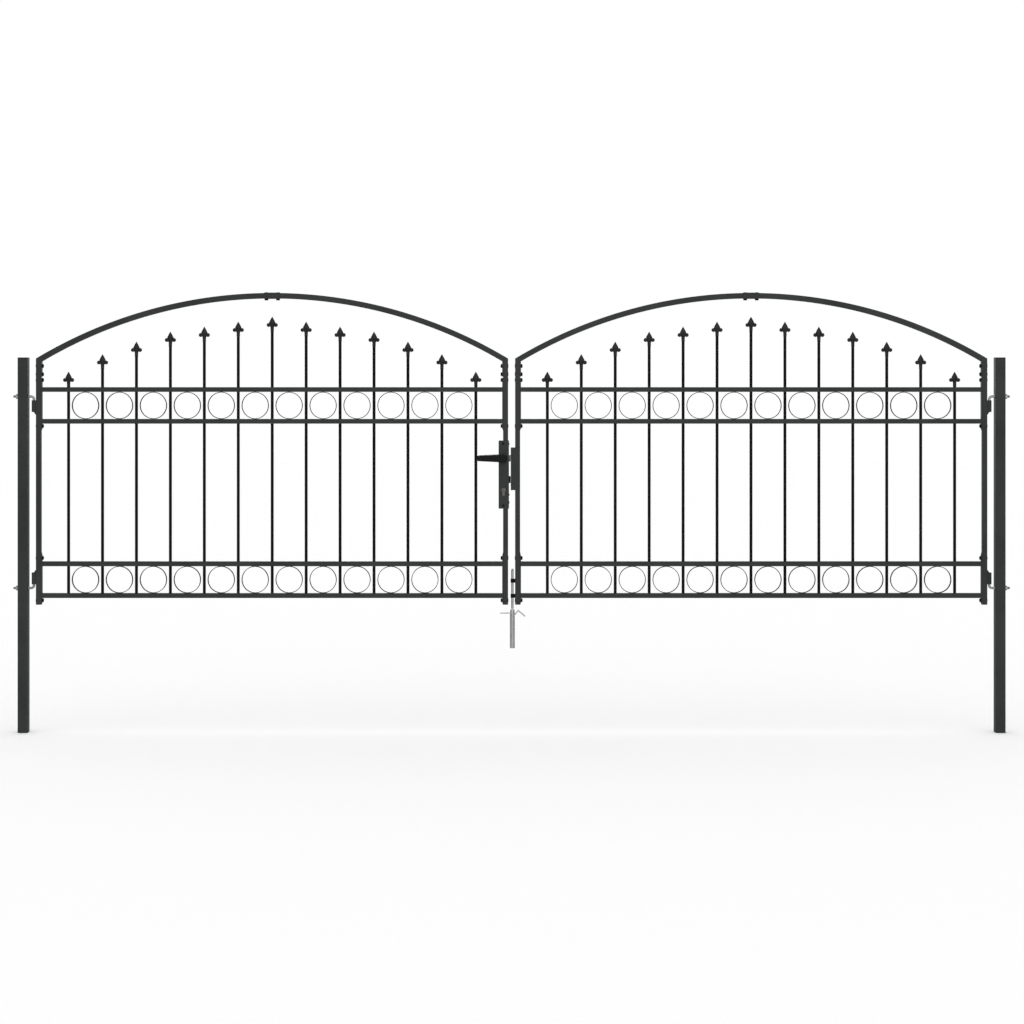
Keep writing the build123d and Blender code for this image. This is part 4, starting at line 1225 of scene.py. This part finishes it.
class GATE_OT_stage(bpy.types.Operator):
    """Pale floor, soft studio light and the camera"""

    bl_idname = "gate.stage"
    bl_label = "Stage"

    floor_size = 60
    floor_gap = 1 * MM
    # name, place in metres and power in watts
    lights = (
        ("front", (0.6, -9.0, 2.8), 500.0),
        ("rear", (-0.8, 9.0, 3.2), 300.0),
    )
    light_size = 4.5
    light_target = Vector((0, 0, 0.5))
    # distance to the gate's plane, the width of it that fills the picture,
    # and how far the picture's middle lies below the lens
    distance = 8.0
    width_seen = 4.096
    drop = 0.488
    lens_x = 0.0016
    lens_height = 0.878
    sensor = 36.0

    def floor(self):
        rest()
        ground = CAD_BOX[0].z - self.floor_gap
        bpy.ops.mesh.primitive_plane_add(size=self.floor_size, location=(0, 0, ground))
        floor = bpy.context.object
        floor.name = "studio_floor"
        finish, tree, shader = new_finish("studio_floor")
        grain = shader_node(tree, "ShaderNodeTexNoise", (-500, 0), Scale=2.0, Detail=2.0)
        pale = tuple(colours().floor)
        tones = tone_ramp(
            tree, (-300, 0), (0, shade(pale, 0.998)), (1, shade(pale, 1.002)), grain.outputs["Fac"]
        )
        tree.links.new(tones, shader.inputs["Base Color"])
        shader.inputs["Roughness"].default_value = 0.9
        shader.inputs["Specular IOR Level"].default_value = 0.05
        floor.data.materials.append(finish)
        return floor

    def lighting(self, scene, floor):
        """White surroundings, and two lamps that fall on the gate alone."""
        world = bpy.data.worlds.new("studio")
        world.use_nodes = True
        background = world.node_tree.nodes["Background"]
        background.inputs["Color"].default_value = (1, 1, 1, 1)
        background.inputs["Strength"].default_value = 1.0
        scene.world = world
        lit = bpy.data.collections.new("lit_pieces")
        for piece in scene.objects:
            if piece.type == "MESH" and piece != floor:
                lit.objects.link(piece)
        for name, place, power in self.lights:
            rest()
            bpy.ops.object.light_add(type="AREA", location=place)
            light = bpy.context.object
            light.name = name + "_light"
            light.data.size = self.light_size
            light.data.energy = power
            light.visible_camera = False
            light.light_linking.receiver_collection = lit
            aim = self.light_target - Vector(place)
            light.rotation_euler = aim.to_track_quat("-Z", "Y").to_euler()

    def camera(self, scene):
        rest()
        bpy.ops.object.camera_add(
            location=(self.lens_x, -self.distance, self.lens_height), rotation=(math.pi / 2, 0, 0)
        )
        camera = bpy.context.object
        camera.name = "gate_camera"
        camera.data.sensor_width = self.sensor
        camera.data.lens = self.sensor * self.distance / self.width_seen
        camera.data.shift_y = -self.drop / self.width_seen
        camera.data.clip_end = 200.0
        scene.camera = camera
        scene.view_settings.view_transform = "Standard"

    def execute(self, context):
        floor = self.floor()
        self.lighting(context.scene, floor)
        self.camera(context.scene)
        return {"FINISHED"}


class GATE_PT_panel(bpy.types.Panel):
    """Lists the gate's pieces"""

    bl_idname = "GATE_PT_panel"
    bl_label = "Garden gate"
    bl_space_type = "VIEW_3D"
    bl_region_type = "UI"
    bl_category = "Gate"

    def draw(self, context):
        for group in (context.scene.gate_sizes, context.scene.gate_colours):
            column = self.layout.column()
            for name in group.__annotations__:
                column.prop(group, name)
        for operator in OPERATORS:
            self.layout.operator(operator.bl_idname)


OPERATORS = (
    GATE_OT_posts,
    GATE_OT_hooks,
    GATE_OT_eyes,
    GATE_OT_stiles,
    GATE_OT_arches,
    GATE_OT_rails,
    GATE_OT_bars,
    GATE_OT_spears,
    GATE_OT_rings,
    GATE_OT_plates,
    GATE_OT_fasteners,
    GATE_OT_lock_case,
    GATE_OT_lock_works,
    GATE_OT_strike,
    GATE_OT_drop_bolt,
    GATE_OT_stage,
)
CLASSES = (GateSizes, GateColours, *OPERATORS, GATE_PT_panel)


def register():
    for item in CLASSES:
        bpy.utils.register_class(item)
    bpy.types.Scene.gate_sizes = PointerProperty(type=GateSizes)
    bpy.types.Scene.gate_colours = PointerProperty(type=GateColours)


def unregister():
    del bpy.types.Scene.gate_colours
    del bpy.types.Scene.gate_sizes
    for item in reversed(CLASSES):
        bpy.utils.unregister_class(item)


def main():
    register()
    bpy.ops.gate.posts()
    bpy.ops.gate.hooks()
    bpy.ops.gate.eyes()
    bpy.ops.gate.stiles()
    bpy.ops.gate.arches()
    bpy.ops.gate.rails()
    bpy.ops.gate.bars()
    bpy.ops.gate.spears()
    bpy.ops.gate.rings()
    bpy.ops.gate.plates()
    bpy.ops.gate.fasteners()
    bpy.ops.gate.lock_case()
    bpy.ops.gate.lock_works()
    bpy.ops.gate.strike()
    bpy.ops.gate.drop_bolt()
    bpy.ops.gate.stage()


if __name__ == "__main__":
    main()
